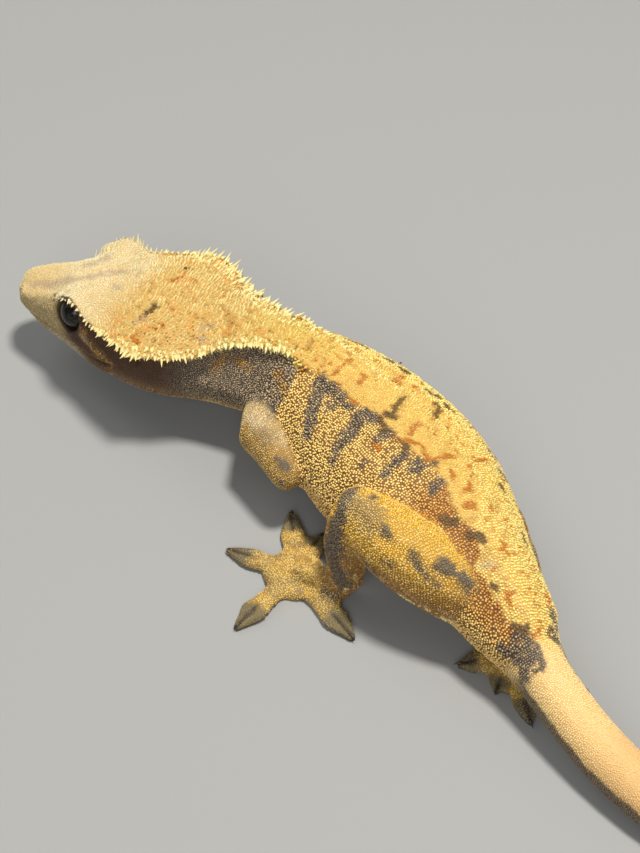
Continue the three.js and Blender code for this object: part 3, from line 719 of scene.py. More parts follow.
# Marks on the trunk: half width, then points as (back from the snout, left, above the spine)
trunkMarks = {
    "charcoal": [
        (0.95, (56.6, 3.5, 7.2), (59.0, 6.2, 6.7), (61.0, 8.3, 5.8), (62.2, 9.7, 4.6)),
        (0.8, (57.5, 3.8, 7.3), (60.8, 3.7, 8.0), (63.8, 3.8, 8.2)),
        (0.5, (61.1, 3.6, 8.0), (61.8, 5.6, 7.2)),
        (0.95, (66.2, 3.7, 8.3), (67.4, 5.7, 7.5), (68.0, 8.4, 6.5)),
        (0.6, (68.0, 8.4, 6.5), (69.3, 10.0, 5.3)), (0.75, (66.0, 3.4, 8.3), (68.2, 2.6, 8.7)),
        (0.65, (71.3, 4.4, 8.4), (71.4, 2.6, 8.7)), (0.25, (73.2, 8.6, 6.3), (73.1, 7.3, 7.1)),
        (0.5, (76.6, 6.4, 7.2), (76.1, 4.7, 7.7), (75.9, 2.6, 8.5)),
        (0.8, (78.4, 2.9, 8.3), (78.4, 1.9, 8.5)), (0.4, (78.6, 1.0, 8.7), (79.2, 0.3, 8.7)),
        (0.6, (82.6, 2.3, 8.0), (82.5, 1.2, 8.3)),
        (1.3, (105.2, 2.0, 4.0), (106.8, 1.6, 3.9), (108.2, 2.0, 3.4)),
        (0.9, (105.0, 4.0, 2.0), (106.8, 2.9, 3.0)), (0.7, (108.0, 2.8, 2.3), (109.0, 3.4, 1.4)),
        (0.9, (58.2, -9.4, 4.6), (60.5, -11.2, 2.5), (62.5, -11.6, -0.5)),
        (0.7, (62, -9.8, 4.6), (64, -11, 3.2)),
        (0.9, (67.5, -10.4, 4.4), (69, -11.8, 2.0), (70.5, -12.2, -0.5)),
        (0.6, (73, -10.4, 4.4), (73.5, -11.4, 2.6)), (0.6, (77.5, -9.6, 4.6), (78, -11, 2.6)),
        (0.7, (81.5, -9.4, 4.2), (82, -10.2, 3.0)), (0.9, (105.5, -2.6, 3.0), (108, -3.6, 1.0)),
        (0.7, (102.5, -3.8, 2.4), (104.5, -3.8, 1.6)), (0.45, (107.5, -3.4, 1.8), (111.5, -3.2, 1.4)),
    ],
    "umber": [
        (0.6, (87.3, 3.6, 7.1), (88.3, 2.4, 7.2)), (0.75, (91.0, 1.3, 7.1), (91.7, 0.6, 7.1)),
        (0.75, (103.4, 2.0, 4.5), (104.1, 1.3, 4.7)), (0.5, (59.8, -7.7, 5.6), (61.5, -7.9, 5.6)),
        (0.5, (51.5, -6.6, 5.2), (53.5, -7.0, 5.0)), (0.4, (57.2, -7.1, 5.4), (58.2, -7.5, 5.2)),
        (0.5, (65.7, -8, 6.0), (67.4, -8.6, 5.8)), (0.42, (69.2, -8.5, 5.9), (70.4, -8.5, 5.9)),
        (0.5, (83.8, -7.1, 5.0), (84.8, -7, 4.8)), (0.35, (86.8, -6.9, 4.2), (87.1, -7.5, 3.1)),
        (0.35, (91.5, -6.5, 4.0), (92.9, -6.1, 4.0)),
        (0.38, (66.5, -3.5, 8.3), (67.6, -1.6, 8.8), (68.4, -0.3, 8.9)),
        (0.66, (68.4, 0.7, 8.9), (69.6, 0.3, 9.0)),
        (0.42, (68.8, -7.2, 7.2), (70.7, -6.3, 7.5), (71.4, -5.2, 7.8)),
        (0.4, (73.1, 2.1, 8.7), (75.2, 2.3, 8.6)), (0.34, (97.6, 2.1, 5.8), (98.3, 1.9, 5.7)),
        (0.44, (68.4, 2.2, 8.7), (70.5, 2.8, 8.6)), (0.3, (25.1, -7.5, 4.9), (25.3, -7.4, 4.7)),
        (0.32, (26.0, 4.5, 5.3), (26.1, 2.5, 5.4), (26.6, 2.3, 5.4)),
        (0.26, (13.2, 5.7, 5.6), (11.0, 4.9, 4.5), (9.8, 4.9, 3.6)),
    ],
    "ochre": [
        (0.36, (57.2, 2.0, 8.0), (56.8, 0.7, 8.2)), (0.26, (55.1, 1.1, 8.1), (55.3, 1.1, 8.1)),
        (0.26, (54.1, 1.9, 7.9), (54.7, 2.1, 7.9)), (0.24, (56.6, -0.4, 8.2), (56.3, -1.8, 8.0)),
        (0.33, (61.4, 0.8, 8.5), (60.4, -1.1, 8.4)), (0.2, (60.6, -1.5, 8.3), (60.6, -1.6, 8.3)),
        (0.2, (58.5, -5.1, 7.0), (58.5, -5.2, 6.9)), (0.24, (53.9, -4.7, 6.5), (54.7, -5.0, 6.5)),
        (0.26, (62.3, -4.6, 7.5), (62.3, -6.7, 7.0)), (0.46, (62.8, -4.7, 7.5), (63.6, -4.7, 7.6)),
        (0.24, (65.7, -6.6, 7.2), (66.4, -7.0, 7.2)),
        (0.34, (73.2, 0.2, 8.9), (72.5, -1.0, 8.9), (72.5, -2.1, 8.7), (73.3, -2.6, 8.6)),
        (0.22, (74.2, -3.3, 8.4), (75.0, -4.1, 8.3)), (0.2, (71.9, -4.1, 8.4), (71.9, -4.3, 8.4)),
        (0.22, (75.6, -6.6, 7.2), (75.9, -6.2, 7.3)), (0.2, (77.9, -4.0, 8.1), (78.7, -3.9, 8.1)),
        (0.3, (73.6, 1.5, 8.8), (75.5, 0.5, 8.9), (77.5, 0.3, 8.8), (78.4, 0.4, 8.7)),
        (0.3, (78.4, 0.7, 8.7), (78.7, -1.2, 8.6), (79.0, -3.0, 8.2)),
        (0.3, (80.9, -4.3, 7.9), (82.5, -4.2, 7.7)), (0.3, (80.1, -6.1, 6.9), (80.1, -8.1, 5.8)),
        (0.3, (81.2, -1.0, 8.5), (82.6, -0.6, 8.3)), (0.38, (84.7, -1.1, 8.0), (84.9, -2.4, 7.7)),
        (0.45, (86.9, 0.0, 7.8), (87.2, -1.1, 7.7)), (0.25, (87.9, -3.2, 7.0), (89.0, -3.4, 6.9)),
        (0.25, (90.7, -4.1, 6.0), (89.7, -5.2, 5.6)), (0.28, (93.3, -2.2, 6.5), (94.2, -1.8, 6.5)),
        (0.33, (99.4, 1.3, 5.8), (100.6, 1.4, 5.5)), (0.24, (99.0, 0.1, 6.1), (99.0, 0.0, 6.1)),
        (0.24, (98.0, -2.9, 5.6), (98.1, -3.0, 5.6)), (0.24, (99.7, -1.9, 5.5), (99.7, -2.1, 5.4)),
        (0.22, (94.8, -2.8, 6.1), (94.9, -2.9, 6.1)), (0.34, (62.6, 3.0, 8.2), (64.2, 3.1, 8.2)),
        (0.32, (54.6, 3.3, 7.7), (55.6, 3.4, 7.8)), (0.28, (71.6, 4.9, 7.8), (72.7, 4.8, 7.8)),
        (0.34, (25.3, -3.7, 5.3), (26.3, -4.6, 5.3)), (0.4, (26.8, 9.2, 4.6), (27.6, 10.1, 4.5)),
        (0.32, (29.0, 5.9, 5.1), (29.2, 6.0, 5.1)),
    ],
    "lavender": [
        (0.65, (95.2, 2.0, 6.2), (95.3, 1.2, 6.5)),
        (0.75, (9.4, 2.9, 4.0), (12.2, 2.7, 5.3), (14.3, 1.7, 5.7)),
        (0.6, (14.3, 1.7, 5.7), (15.4, 0.7, 5.7), (18.0, -2.0, 5.4)),
        (0.5, (18.0, -2.0, 5.4), (19.1, -3.0, 5.2)), (0.7, (4.0, 2.6, 2.2), (9.4, 2.9, 4.0)),
        (0.9, (12.6, -1.2, 5.4), (13.3, -2.1, 5.6), (13.9, -3.3, 5.6)),
        (0.5, (25.5, 6.7, 5.0), (26.2, 5.3, 5.2)), (0.55, (34.3, 3.2, 5.5), (34.9, 2.7, 5.6)),
        (0.45, (34.9, 5.1, 5.1), (35.6, 5.6, 4.9)), (0.5, (18.6, 1.5, 5.4), (19.5, 1.8, 5.3)),
        (0.4, (20.3, -1.8, 5.3), (19.8, -3.4, 5.1)), (0.6, (16.5, 8.8, 0.2), (17.9, 9.3, -0.5)),
        (0.6, (16.5, -8.8, 0.2), (17.9, -9.3, -0.5)),
    ],
    "gold": [
        (0.8, (48.4, 5.7, 4.7), (50.8, 6.6, 4.6), (52.5, 7.3, 4.5)),
        (0.65, (38.1, 7.2, 2.0), (39.0, 6.0, 3.6)), (0.65, (39.9, 5.8, 3.7), (43.2, 5.7, 3.5)),
        (1.0, (16.8, 8.8, 0.9), (19.6, 9.8, -1.0), (22.8, 10.6, -1.6)),
        (0.8, (48.9, -5.7, 4.4), (51.8, -7.0, 4.2)), (0.55, (17.8, -9.0, 0.5), (21.8, -10.4, -1.7)),
    ],
}

# Marks on the limbs: node, half width, then points from the animal's zero point
limbMarks = {
    "charcoal": [
        ("thigh_left", 1.25, (-20.4, 8.4, 17.9), (-21.9, 11.1, 15.2)),
        ("shin_left", 1.7, (-21.7, 11.1, 16.0), (-21.9, 12.3, 12.8), (-22.2, 12.6, 9.0)),
        ("shin_left", 1.2, (-22.0, 12.6, 9.0), (-24.0, 12.6, 6.0), (-25.0, 12.4, 4.6)),
        ("thigh_left", 0.55, (-22.9, 6.5, 17.9), (-23.6, 7.2, 18.1)),
        ("thigh_left", 0.7, (-28.2, 8.5, 17.5), (-29.3, 8.7, 16.9)),
        ("thigh_left", 0.6, (-32.7, 7.5, 16.1), (-35.4, 7.1, 14.3)),
        ("thigh_left", 0.95, (-36.0, 5.3, 15.4), (-38.4, 3.4, 14.5), (-40.4, 3.4, 13.4)),
        ("thigh_left", 0.45, (-36.1, 6.9, 13.9), (-37.3, 6.5, 13.2)),
        ("thigh_left", 0.55, (-30.7, 10.1, 14.0), (-31.6, 9.7, 14.0)),
        ("thigh_left", 0.5, (-27.0, 11.0, 12.2), (-29.0, 10.4, 11.2)),
        ("upper_arm_left", 0.8, (-5.6, 10.4, 11.6), (-6.6, 9.8, 11.0)),
        ("upper_arm_left", 1.25, (8.2, 8.8, 9.6), (7.2, 7.6, 11.4), (5.9, 6.7, 12.8)),
        ("upper_arm_left", 1.25, (5.9, 6.7, 12.8), (4.2, 6.4, 13.6), (2.2, 6.8, 13.6)),
        ("upper_arm_left", 0.9, (2.2, 6.8, 13.6), (0.5, 6.8, 13.4)),
        ("thigh_right", 1.5, (-26.5, -13.5, 7.5), (-28.5, -15.0, 4.0)),
        ("thigh_right", 0.7, (-36.0, -8.8, 9.4), (-37.6, -7.6, 9.6)),
        ("upper_arm_right", 1.2, (-4.0, -17.0, 8.0), (-5.0, -17.5, 7.0)),
        ("shin_right", 0.9, (-31.0, -12.6, 5.2), (-33.5, -11.2, 5.6)),
    ],
    "soot": [
        ("thigh_left", 1.9, (-23.0, 9.6, 17.4), (-26.0, 9.0, 17.4)),
        ("upper_arm_left", 1.2, (1.2, 9.8, 12.8), (-1.6, 9.9, 12.5)),
        ("upper_arm_right", 1.2, (0.4, -14.6, 11.0), (-1.6, -15.4, 10.4)),
        ("foot_left", 0.9, (-20.6, 11.6, 2.6), (-22.6, 11.6, 2.0)),
    ],
    "tan": [
        ("upper_arm_left", 1.7, (5.0, 9.2, 11.9), (1.6, 9.0, 13.0)),
        ("upper_arm_left", 0.9, (-0.5, 7.6, 13.0), (-3.0, 8.2, 12.2)),
        ("upper_arm_right", 1.5, (4.0, -12.0, 12.4), (1.4, -13.4, 11.6)),
    ],
    "pale": [
        ("thigh_left", 0.5, (-28.6, 10.7, 8.4), (-30.7, 10.0, 8.4), (-33.6, 8.9, 8.5), (-36.3, 7.7, 8.6)),
        ("thigh_left", 0.5, (-36.3, 7.7, 8.6), (-38.1, 6.7, 8.3), (-39.8, 5.4, 7.0), (-41.5, 4.5, 6.0)),
        ("shin_left", 0.4, (-24.9, 12.5, 3.9), (-25.6, 11.8, 5.2), (-26.0, 11.0, 6.8), (-26.2, 10.4, 8.4)),
    ],
}

trunkInks = {  # the shade between the scales, how much wider than drawn, how soft the border is, strength
    "gold": (shades["gapFlank"], 0.1, 0.5, 0.95),
    "charcoal": (shades["gapCharcoal"], 0.22, 0.3, 0.95),
    "umber": (shades["umber"] * 0.4, 0.12, 0.2, 0.95),
    "ochre": (shades["ochre"] * 0.6, 0.14, 0.18, 0.95),
    "lavender": (shades["lavender"] * 0.7, 0.0, 0.5, 0.6),
}
limbInks = {  # how soft the border is, strength, how light it is on the scales and between them
    "charcoal": (0.55, 0.95, 0.65, 0.16),
    "soot": (1.2, 0.6, 1, 0.25),
    "tan": (1.2, 0.7, 1, 0.4),
    "pale": (0.15, 0.9, 1, 0.7),
}
limbTones = {"arm": (5, 11), "thigh": (10, 16)}  # heights between which the lower tone gives way to the upper
vent, tailEnd = 106, 176  # back from the snout


def awayFrom(places, marks):  # distance of each place from the nearest mark's border, below zero inside
    best = np.full(len(places), farAway)
    for half, *stops in marks:
        for start, end in zip(stops, stops[1:]):
            a, b = np.array(start, float), np.array(end, float)
            t = np.clip(((places - a) @ (b - a)) / max((b - a) @ (b - a), 1e-6), 0, 1)
            best = np.minimum(best, np.linalg.norm(places - a - t[:, None] * (b - a), axis=1) - half)
    return best


def bandReach(s, left):  # how far inside the pale band a place is
    return np.minimum(np.interp(s, *zip(*bandLeft)) - left, np.interp(s, *zip(*bandRight)) + left)


def fieldsOf(points):  # places on the body, and the soft noises that roughen the borders
    s, left, above, _ = bodyPlace(points)
    return SimpleNamespace(
        points=points, s=s, left=left, above=above, wobble=clouds(points, 3.2, 11),
        fine=clouds(points, 1.1, 23), speck=cloud(points, 0.7, 31), grit=cloud(points, 0.42, 163))


def lay(coat, scaleTone, gapTone, share, where=slice(None)):  # one wash over the scales and between them
    for layer, colour in zip(coat, (scaleTone, gapTone)):
        layer[where] = mixTones(layer[where], colour, share)


def washFlanks(coat, f):  # flank, belly, the cheek darkened with painted shade under the crest, and the dark side of the neck
    s, above = f.s, f.above
    low = smoothStep(-above + 0.8 * f.wobble, -3.5, 3.0)
    lay(coat, shades["flankLow"], shades["gapFlank"], low * 0.8)
    lay(coat, shades["belly"], shades["gapLimb"], smoothStep(-above, 2.5, 5.5))
    rear = smoothStep(s + f.wobble, 79, 86) * smoothStep(above, 1, 4)
    lay(coat, shades["russet"], shades["gapRusset"], rear * 0.95)
    # painted shade: the cheek under the crest is darkened, fading into the throat's own colour below
    onHead = smoothStep(36 - s, -2.5, 2.5)
    shadedCheek = mixTones(shades["shadedCheek"], shades["throat"], smoothStep(-above, 1, 5))
    lay(coat, shadedCheek, shadedCheek * 0.35, onHead)
    snoutSide = smoothStep(13 - s, -1, 3) * smoothStep(above, -6, -2)
    lay(coat, shades["snout"] * 0.72, shades["gapFront"] * 0.6, snoutSide)
    endOfNeck = 53.5 - 0.55 * np.abs(4 - above) + 1.2 * f.wobble + 0.8 * f.fine
    neckSide = smoothStep(s, 30, 36) * smoothStep(endOfNeck - s, -0.4, 0.6)
    neckSide = neckSide * smoothStep(above + 0.5 * f.fine, -4.5, -2.5)
    lay(coat, shades["charcoal"] * 1.25, shades["gapCharcoal"] * 1.2, neckSide * 0.95)


def bandShare(f, reach):  # 1 on the pale band along the crown and back
    s, left, above = f.s, f.left, f.above
    edge = 0.35 * f.fine + 0.3 * f.speck + 0.22 * f.grit
    share = smoothStep(reach + np.where(s > 46, 1.3 * edge, 0.4 * edge), -0.15, 0.2) * (s < 118)
    edgeBelow = np.where(left > 0, -0.65, -2.2)
    share = share * np.where(s < 50, smoothStep(above - crestHeight(s) - edgeBelow, -0.25, 0.25), 1)
    share = np.where((s < 13) & (above > 0), np.maximum(share, smoothStep(above - 0.25 * s, 0, 1)), share)
    return share * smoothStep(above, -0.5, 1.0)


def washBand(coat, f):
    s, points = f.s, f.points
    reach = bandReach(s, f.left)
    inBand = bandShare(f, reach)
    crown = mixTones(shades["snout"], shades["crownFront"], smoothStep(s + f.wobble, 5, 14))
    crown = mixTones(crown, shades["crownRear"], smoothStep(s + 1.8 * f.wobble, 18, 25))
    crown = mixTones(crown, shades["band"], smoothStep(s, 36, 48))
    crownGap = mixTones(shades["gapFront"], shades["gapCrown"], smoothStep(s + 2 * f.wobble, 16, 25))
    crownGap = mixTones(crownGap, shades["gapBand"], smoothStep(s, 44, 54))
    lay(coat, crown, crownGap, inBand)
    tufts = smoothStep(clouds(points, 0.85, 193) + 0.15 * f.grit, 0.1, 0.45)
    tufts = tufts * smoothStep(s + 2 * f.wobble, 19, 25)
    tufts = tufts * np.interp(s, (30, 44, 56, 60, 76, 90), (0.55, 0.8, 0.7, 0.25, 0.3, 0.5)) * (s < vent)
    lay(coat, shades["gapCrown"], shades["gapCrown"] * 0.62, tufts * inBand)
    deep = smoothStep(clouds(points, 1.9, 41), 0.15, 0.6) * smoothStep(s, 19, 26) * smoothStep(50 - s, -2, 6)
    lay(coat, shades["ochre"] * 1.25, shades["ochre"] * 0.9, deep * inBand * 0.5)
    fringe = hump(reach, -0.25, 0.4) * (s > 52) * (s < vent) * (f.above > 1)
    fringe = fringe * smoothStep(clouds(points, 1.6, 53), -0.3, 0.4)
    lay(coat, shades["ochre"], shades["gapFlank"], fringe * 0.8)
    freckles = clouds(points, 0.95, 83) + 0.2 * f.grit
    freckles = freckles + 0.25 * smoothStep(s, 80, 100) + 0.12 * smoothStep(-f.left, 3, 8)
    freckles = smoothStep(freckles, 0.58, 0.68) * (s > 48) * (s < 108)
    lay(coat, shades["ochre"], shades["ochre"] * 0.6, freckles * inBand * 0.95)
    ghost = smoothStep(clouds(points, 2.6, 89), 0.3, 0.6) * smoothStep(s, 88, 96) * (s < vent)
    lay(coat, shades["lavender"] * 1.1, shades["gapBand"], ghost * inBand * 0.4)


def washTail(coat, f):  # paler above than below, with smoky blotches and a thin dark line low on the side
    s, above = f.s, f.above
    tail = smoothStep(s + 1.2 * f.wobble + 0.8 * f.fine, 105, 109)
    tailTone = mixTones(shades["tail"], shades["tailEnd"], smoothStep(s + 2 * f.wobble, 112, 128))
    tailTone = mixTones(tailTone, shades["belly"], smoothStep(-above, 0.3, 2.2))
    lay(coat, tailTone, mixTones(shades["gapTail"], shades["gapLimb"], smoothStep(-above, 0, 2)), tail)
    fade = smoothStep(tailEnd - s, 0, 20)
    smoke = smoothStep(clouds(f.points, 4.8, 97), 0.34, 0.52) * smoothStep(s, 122, 132)
    lay(coat, shades["soot"], shades["gapCharcoal"], smoke * 0.75 * fade)
    under = smoothStep(f.left + 0.4 * f.wobble, 1.4, 2.0) * smoothStep(0.7 + 0.4 * f.fine - above, -0.2, 0.4)
    lay(coat, shades["charcoal"] * 0.7, shades["gapCharcoal"], under * smoothStep(s, vent, 110) * fade * 0.9)


def roughened(places, points, broad, first, narrow, grit):  # moves places about, so that borders are ragged
    places = places + broad * np.stack(first, axis=1)
    return places + narrow * np.stack([grit, cloud(points, 0.42, 167), cloud(points, 0.42, 173)], axis=1)


def drawTrunkMarks(coat, f):  # bars, blots and smudges
    points = f.points
    place = roughened(np.stack([f.s, f.left, f.above], axis=1), points,
                      0.42, [f.fine, cloud(points, 1.3, 61), f.speck], 0.26, f.grit)
    for kind, (gapTone, wider, soft, strength) in trunkInks.items():
        share = smoothStep(wider - awayFrom(place, trunkMarks[kind]), -soft, soft) * strength
        if kind == "gold":
            share = share * (0.3 + 0.7 * smoothStep(cloud(points, 0.5, 211), -0.25, 0.25))
        if kind == "charcoal":  # single golden scales are left among the dark ones
            share = share * (1 - 0.7 * smoothStep(cloud(points, 0.42, 181), 0.45, 0.6))
        lay(coat, shades[kind], gapTone, share)


def paintOpeningShadeAndLip(coat, f):  # painted shade in the mouth's groove, round the lower rims of the eyes and in the nostrils and ears; the lower lip has its own paler colour
    mouth = mouthGap(f.s, f.above)
    # painted shade along the groove of the mouth
    lay(coat, shades["mouth"], shades["mouth"], hump(mouth, 0, 0.22) * (f.s < 23))
    lip = hump(mouth, -0.95, 0.55) * smoothStep(f.s, 6, 10) * smoothStep(18 - f.s, 0, 4)
    lay(coat, shades["lip"], shades["lip"] * 0.6, lip * 0.8)
    # painted shade round the lower rim of each eye
    rim = smoothStep(1.0 - socketDistance(f.points), 0, 0.7) * smoothStep(3.2 - f.above, 0, 2)
    lay(coat, shades["mouth"] * 1.3, shades["mouth"], rim * 0.85)
    # painted shade in the nostrils and ears
    pitShade = smoothStep(pitDepth(f.s, f.left, f.above), 0.25, 0.6)
    lay(coat, shades["mouth"], shades["mouth"] * 0.5, pitShade)


def washToes(coat, f, mine, name):  # dark pads, with painted shade in the crease down each one
    bead, gap = coat
    points, fine = f.points[mine], f.fine[mine]
    along, beside, _ = toePlace(points, name)
    mottled = 0.7 * smoothStep(clouds(points, 1.2, 197), 0.05, 0.4)
    bead[mine] = mixTones(bead[mine], shades["thighLow"], mottled)
    gap[mine] = mixTones(gap[mine], shades["foot"] * 0.45, 0.75)
    pad = smoothStep(along + 0.05 * fine, 0.58, 0.74) * 0.85
    lay(coat, shades["pad"], shades["pad"] * 0.7, pad, mine)
    # painted shade along the crease of each pad
    creaseShade = hump(beside + 0.15 * fine, 0, 0.32) * smoothStep(along, 0.6, 0.7)
    lay(coat, shades["mouth"], shades["mouth"] * 0.6, creaseShade * 0.9, mine)


def washLimb(coat, f, mine, name):
    bead, gap = coat
    points, z = f.points[mine], f.points[mine, 2] - home[2]
    if name.startswith(("upper_arm", "forearm")):
        colour = mixTones(shades["arm"] * 0.75, shades["arm"], smoothStep(z, *limbTones["arm"]))
    elif name in feet:
        colour = shades["foot"]
    else:
        colour = mixTones(shades["thighLow"], shades["thigh"],
                          smoothStep(z + 1.5 * f.wobble[mine], *limbTones["thigh"]))
    bead[mine] = mixTones(colour, shades["pale"], np.clip(0.1 + 0.2 * f.speck[mine], 0, 0.3))
    gapShare = 0.2 + 0.4 * smoothStep(z, *limbTones["thigh"])
    gap[mine] = mixTones(shades["gapLimb"], shades["thigh"] * 0.6, gapShare)
    if name in feet:
        washToes(coat, f, mine, name)
    blotch = smoothStep(clouds(points, 2.4, 131) - 0.06 * (z - 9), 0.42, 0.6)
    blotch = blotch * (0.75 if name.startswith(("thigh", "shin", "upper")) else 0.3)
    lay(coat, shades["soot"], shades["gapCharcoal"], blotch, mine)


def drawLimbMarks(coat, f, mine, name):
    fine, wobble = f.fine[mine], f.wobble[mine]
    place = roughened(f.points[mine] - home, f.points[mine], 0.5, [fine, wobble, fine], 0.45, f.grit[mine])
    for kind, rows in limbMarks.items():
        own = [row[1:] for row in rows if row[0] == name]
        if own:
            soft, strength, light, gapLight = limbInks[kind]
            share = smoothStep(-awayFrom(place, own), -soft, soft) * strength
            lay(coat, shades[kind] * light, shades[kind] * gapLight, share, mine)


def markingsAndShade(points, parts):  # the colours of the scales and of the skin between them, painted shade included
    f = fieldsOf(points)
    coat = [np.tile(shades[name], (len(points), 1)) for name in ("flank", "gapFlank")]
    for step in (washFlanks, washBand, washTail, drawTrunkMarks, paintOpeningShadeAndLip):
        step(coat, f)
    for name in limbNodes:
        mine = parts == partNumber[name]
        if mine.any():
            washLimb(coat, f, mine, name)
            drawLimbMarks(coat, f, mine, name)
    return np.clip(coat[0], 0, 1), np.clip(coat[1], 0, 1)


print("markings are ready")


# Scales: small rounded cones set close over the whole skin

scaleKinds = {
    # apart, radius and height as shares of that, lean, how much of the radius is left half way up,
    # how much of the tip's colour there is at the foot, how far the lean strays to the sides
    "spiny": (0.48, 0.62, 1.15, 0.55, 0.36, 0.40, 1.1),
    "rough": (0.35, 0.58, 0.85, 0.45, 0.45, 0.35, 0.9),
    "granular": (0.31, 0.61, 0.66, 0.26, 0.80, 0.0, 0.3),
    "limb": (0.26, 0.60, 0.56, 0.22, 0.80, 0.0, 0.2),
    "tail": (0.24, 0.56, 0.40, 0.30, 0.74, 0.55, 0.2),
    "fine": (0.23, 0.54, 0.46, 0.15, 0.70, 0.35, 0.2),
    "belly": (0.50, 0.56, 0.26, 0.20, 0.78, 0.30, 0.1),
}
kindNames = list(scaleKinds)

coatSetup = {
    "perPiece": 12500,  # scales in one piece at most
    "sides": 5,
    "offFloor": 0.25, "offEyes": 0.3,  # no scales nearer than this
    "widerQuick": 1.8,
    "sownApart": 0.92,  # as a share of the distance apart
    "fill": 1.9e6,  # points tried in a square metre of 1 mm scales
    "settleRounds": 3, "neighbours": 6, "wanted": 1.12, "push": (0.5, 0.45),
    "rowSlant": {"granular": 0.35, "limb": 0.35, "tail": 0.0, "fine": 0.5},
    "rowPull": 0.7, "rowApart": 1.2,
    "flatScale": 0.0014, "flatTop": 0.55,  # a scale's own size on the unwrapped skin, and its top's
}


def kindOf(points, parts):  # which kind of scale grows at each place
    s, left, above, _ = bodyPlace(points)
    trunk = parts < len(trunkNodes)
    wobble = clouds(points, 3, 7)
    reach = bandReach(s, left)
    top = (reach > -0.4) & (above > crestHeight(s) - 1.2)
    beds = [  # each bed covers the ones before it
        ("rough", trunk & (s < vent) & top & (reach > 0)),
        ("spiny", trunk & (s + 2 * wobble > 21.5) & (s < 52 + 3 * wobble) & top),
        ("fine", trunk & (s < 47) & ~top),
        ("fine", trunk & (s + 2 * wobble < 17.5)),
        ("tail", trunk & (s > vent)),
        ("granular", trunk & (s > 150)),
        ("belly", trunk & (above < -4.5) & (s > 6)),
        ("limb", ~trunk),
        ("fine", parts == partNumber["upper_arm_left"]),
        ("tail", onFeet(parts)),
    ]
    kind = np.full(len(points), kindNames.index("granular"))
    for name, bed in beds:
        kind[bed] = kindNames.index(name)
    return kind


def scatterPoints(surface, spacing, weightName, seed):
    group = bpy.data.node_groups.new("setScales", "GeometryNodeTree")
    group.interface.new_socket("Geometry", in_out="INPUT", socket_type="NodeSocketGeometry")
    group.interface.new_socket("Geometry", in_out="OUTPUT", socket_type="NodeSocketGeometry")
    nodes, links = group.nodes, group.links
    source = nodes.new("NodeGroupInput")
    result = nodes.new("NodeGroupOutput")
    sow = nodes.new("GeometryNodeDistributePointsOnFaces")
    sow.distribute_method = "POISSON"
    sow.inputs["Distance Min"].default_value = spacing / perMetre
    sow.inputs["Density Max"].default_value = coatSetup["fill"] / spacing ** 2
    sow.inputs["Seed"].default_value = seed
    weight = nodes.new("GeometryNodeInputNamedAttribute")
    weight.data_type = "FLOAT"
    weight.inputs["Name"].default_value = weightName
    turn = nodes.new("GeometryNodePointsToVertices")
    links.new(source.outputs[0], sow.inputs["Mesh"])
    links.new(weight.outputs["Attribute"], sow.inputs["Density Factor"])
    links.new(sow.outputs["Points"], turn.inputs["Points"])
    links.new(turn.outputs[0], result.inputs[0])
    twin = addObject("sown", surface.data.copy())
    modifier = twin.modifiers.new("sow", "NODES")
    modifier.node_group = group
    applyAll(twin)
    points = readPoints(twin)
    bpy.data.objects.remove(twin)
    return points


points = readPoints(skin)
skinFaces = [f.vertices[:] for f in skin.data.polygons]
skinTree = BVHTree.FromPolygons([Vector(p) for p in points], skinFaces)
bead, gap = markingsAndShade(points, skinParts)
# the skin fades to black towards each eye: painted shade in the sockets
paint(skin, mixTones(gap, bead, 0.1) * smoothStep(socketDistance(points), 0.0, 0.5)[:, None])


def onSkin(points):
    return np.array([skinTree.find_nearest(Vector(p))[0] for p in points])


def settle(points, spacing):  # neighbours push each other apart, then drop back on the skin
    first, second = coatSetup["push"]
    for _ in range(coatSetup["settleRounds"]):
        kd = KDTree(len(points))
        for i, p in enumerate(points):
            kd.insert(p, i)
        kd.balance()
        moved = points.copy()
        for i, p in enumerate(points):
            push = np.zeros(3)
            want = coatSetup["wanted"] * spacing[i]
            for _, j, gap in kd.find_n(p, coatSetup["neighbours"] + 1)[1:]:
                if gap < want:
                    push += (p - points[j]) * (first * (want - gap) / max(gap, 0.05))
            moved[i] = p + second * push
        points = onSkin(moved)
    return points


def alignRows(points, apart, kinds):  # scales stand in rows across the body
    s, _, above, nearest = bodyPlace(points)
    slants, rowApart = coatSetup["rowSlant"], coatSetup["rowApart"]
    slant = np.array([slants.get(name, 0) for name in kindNames])[kinds]
    hold = np.array([coatSetup["rowPull"] if name in slants else 0.0 for name in kindNames])[kinds]
    line = (s + slant * above + 0.25 * clouds(points, 4, 199)) / (rowApart * apart)
    return onSkin(points + spineBack[nearest] * (hold * (np.round(line) - line) * rowApart * apart)[:, None])


def sowAll():
    corners = readPoints(skin)
    kind = kindOf(corners, skinParts)
    clear = (corners[:, 2] > coatSetup["offFloor"]) & (socketDistance(corners) > coatSetup["offEyes"])
    factor = 1.0
    sown, apart, kinds = [], [], []
    for k, name in enumerate(kindNames):
        layer = skin.data.attributes.new("sow", "FLOAT", "POINT")
        layer.data.foreach_set("value", ((kind == k) & clear).astype(np.float32))
        pitch = scaleKinds[name][0] * factor
        sown.append(scatterPoints(skin, pitch * coatSetup["sownApart"], "sow", 3 + k))
        apart.append(np.full(len(sown[-1]), pitch))
        kinds.append(np.full(len(sown[-1]), k))
        skin.data.attributes.remove(skin.data.attributes["sow"])
    points, apart, kinds = np.vstack(sown), np.concatenate(apart), np.concatenate(kinds)
    return alignRows(settle(points, apart), apart, kinds), apart


scalePoints, scaleSpacing = sowAll()
print("scales:", len(scalePoints))


def surfaceNormals(points):
    normals, corners = readNormals(skin), readPoints(skin)
    out = np.empty((len(points), 3))
    for i, p in enumerate(points):
        face = skinFaces[skinTree.find_nearest(Vector(p))[2]]
        near = [1 / (np.linalg.norm(corners[v] - p) + 0.05) for v in face]
        out[i] = sum(normals[v] * w for v, w in zip(face, near))
    return unit(out)


unwrapSetup = {"kept": 0.06, "bend": math.radians(66), "margin": 0.004}


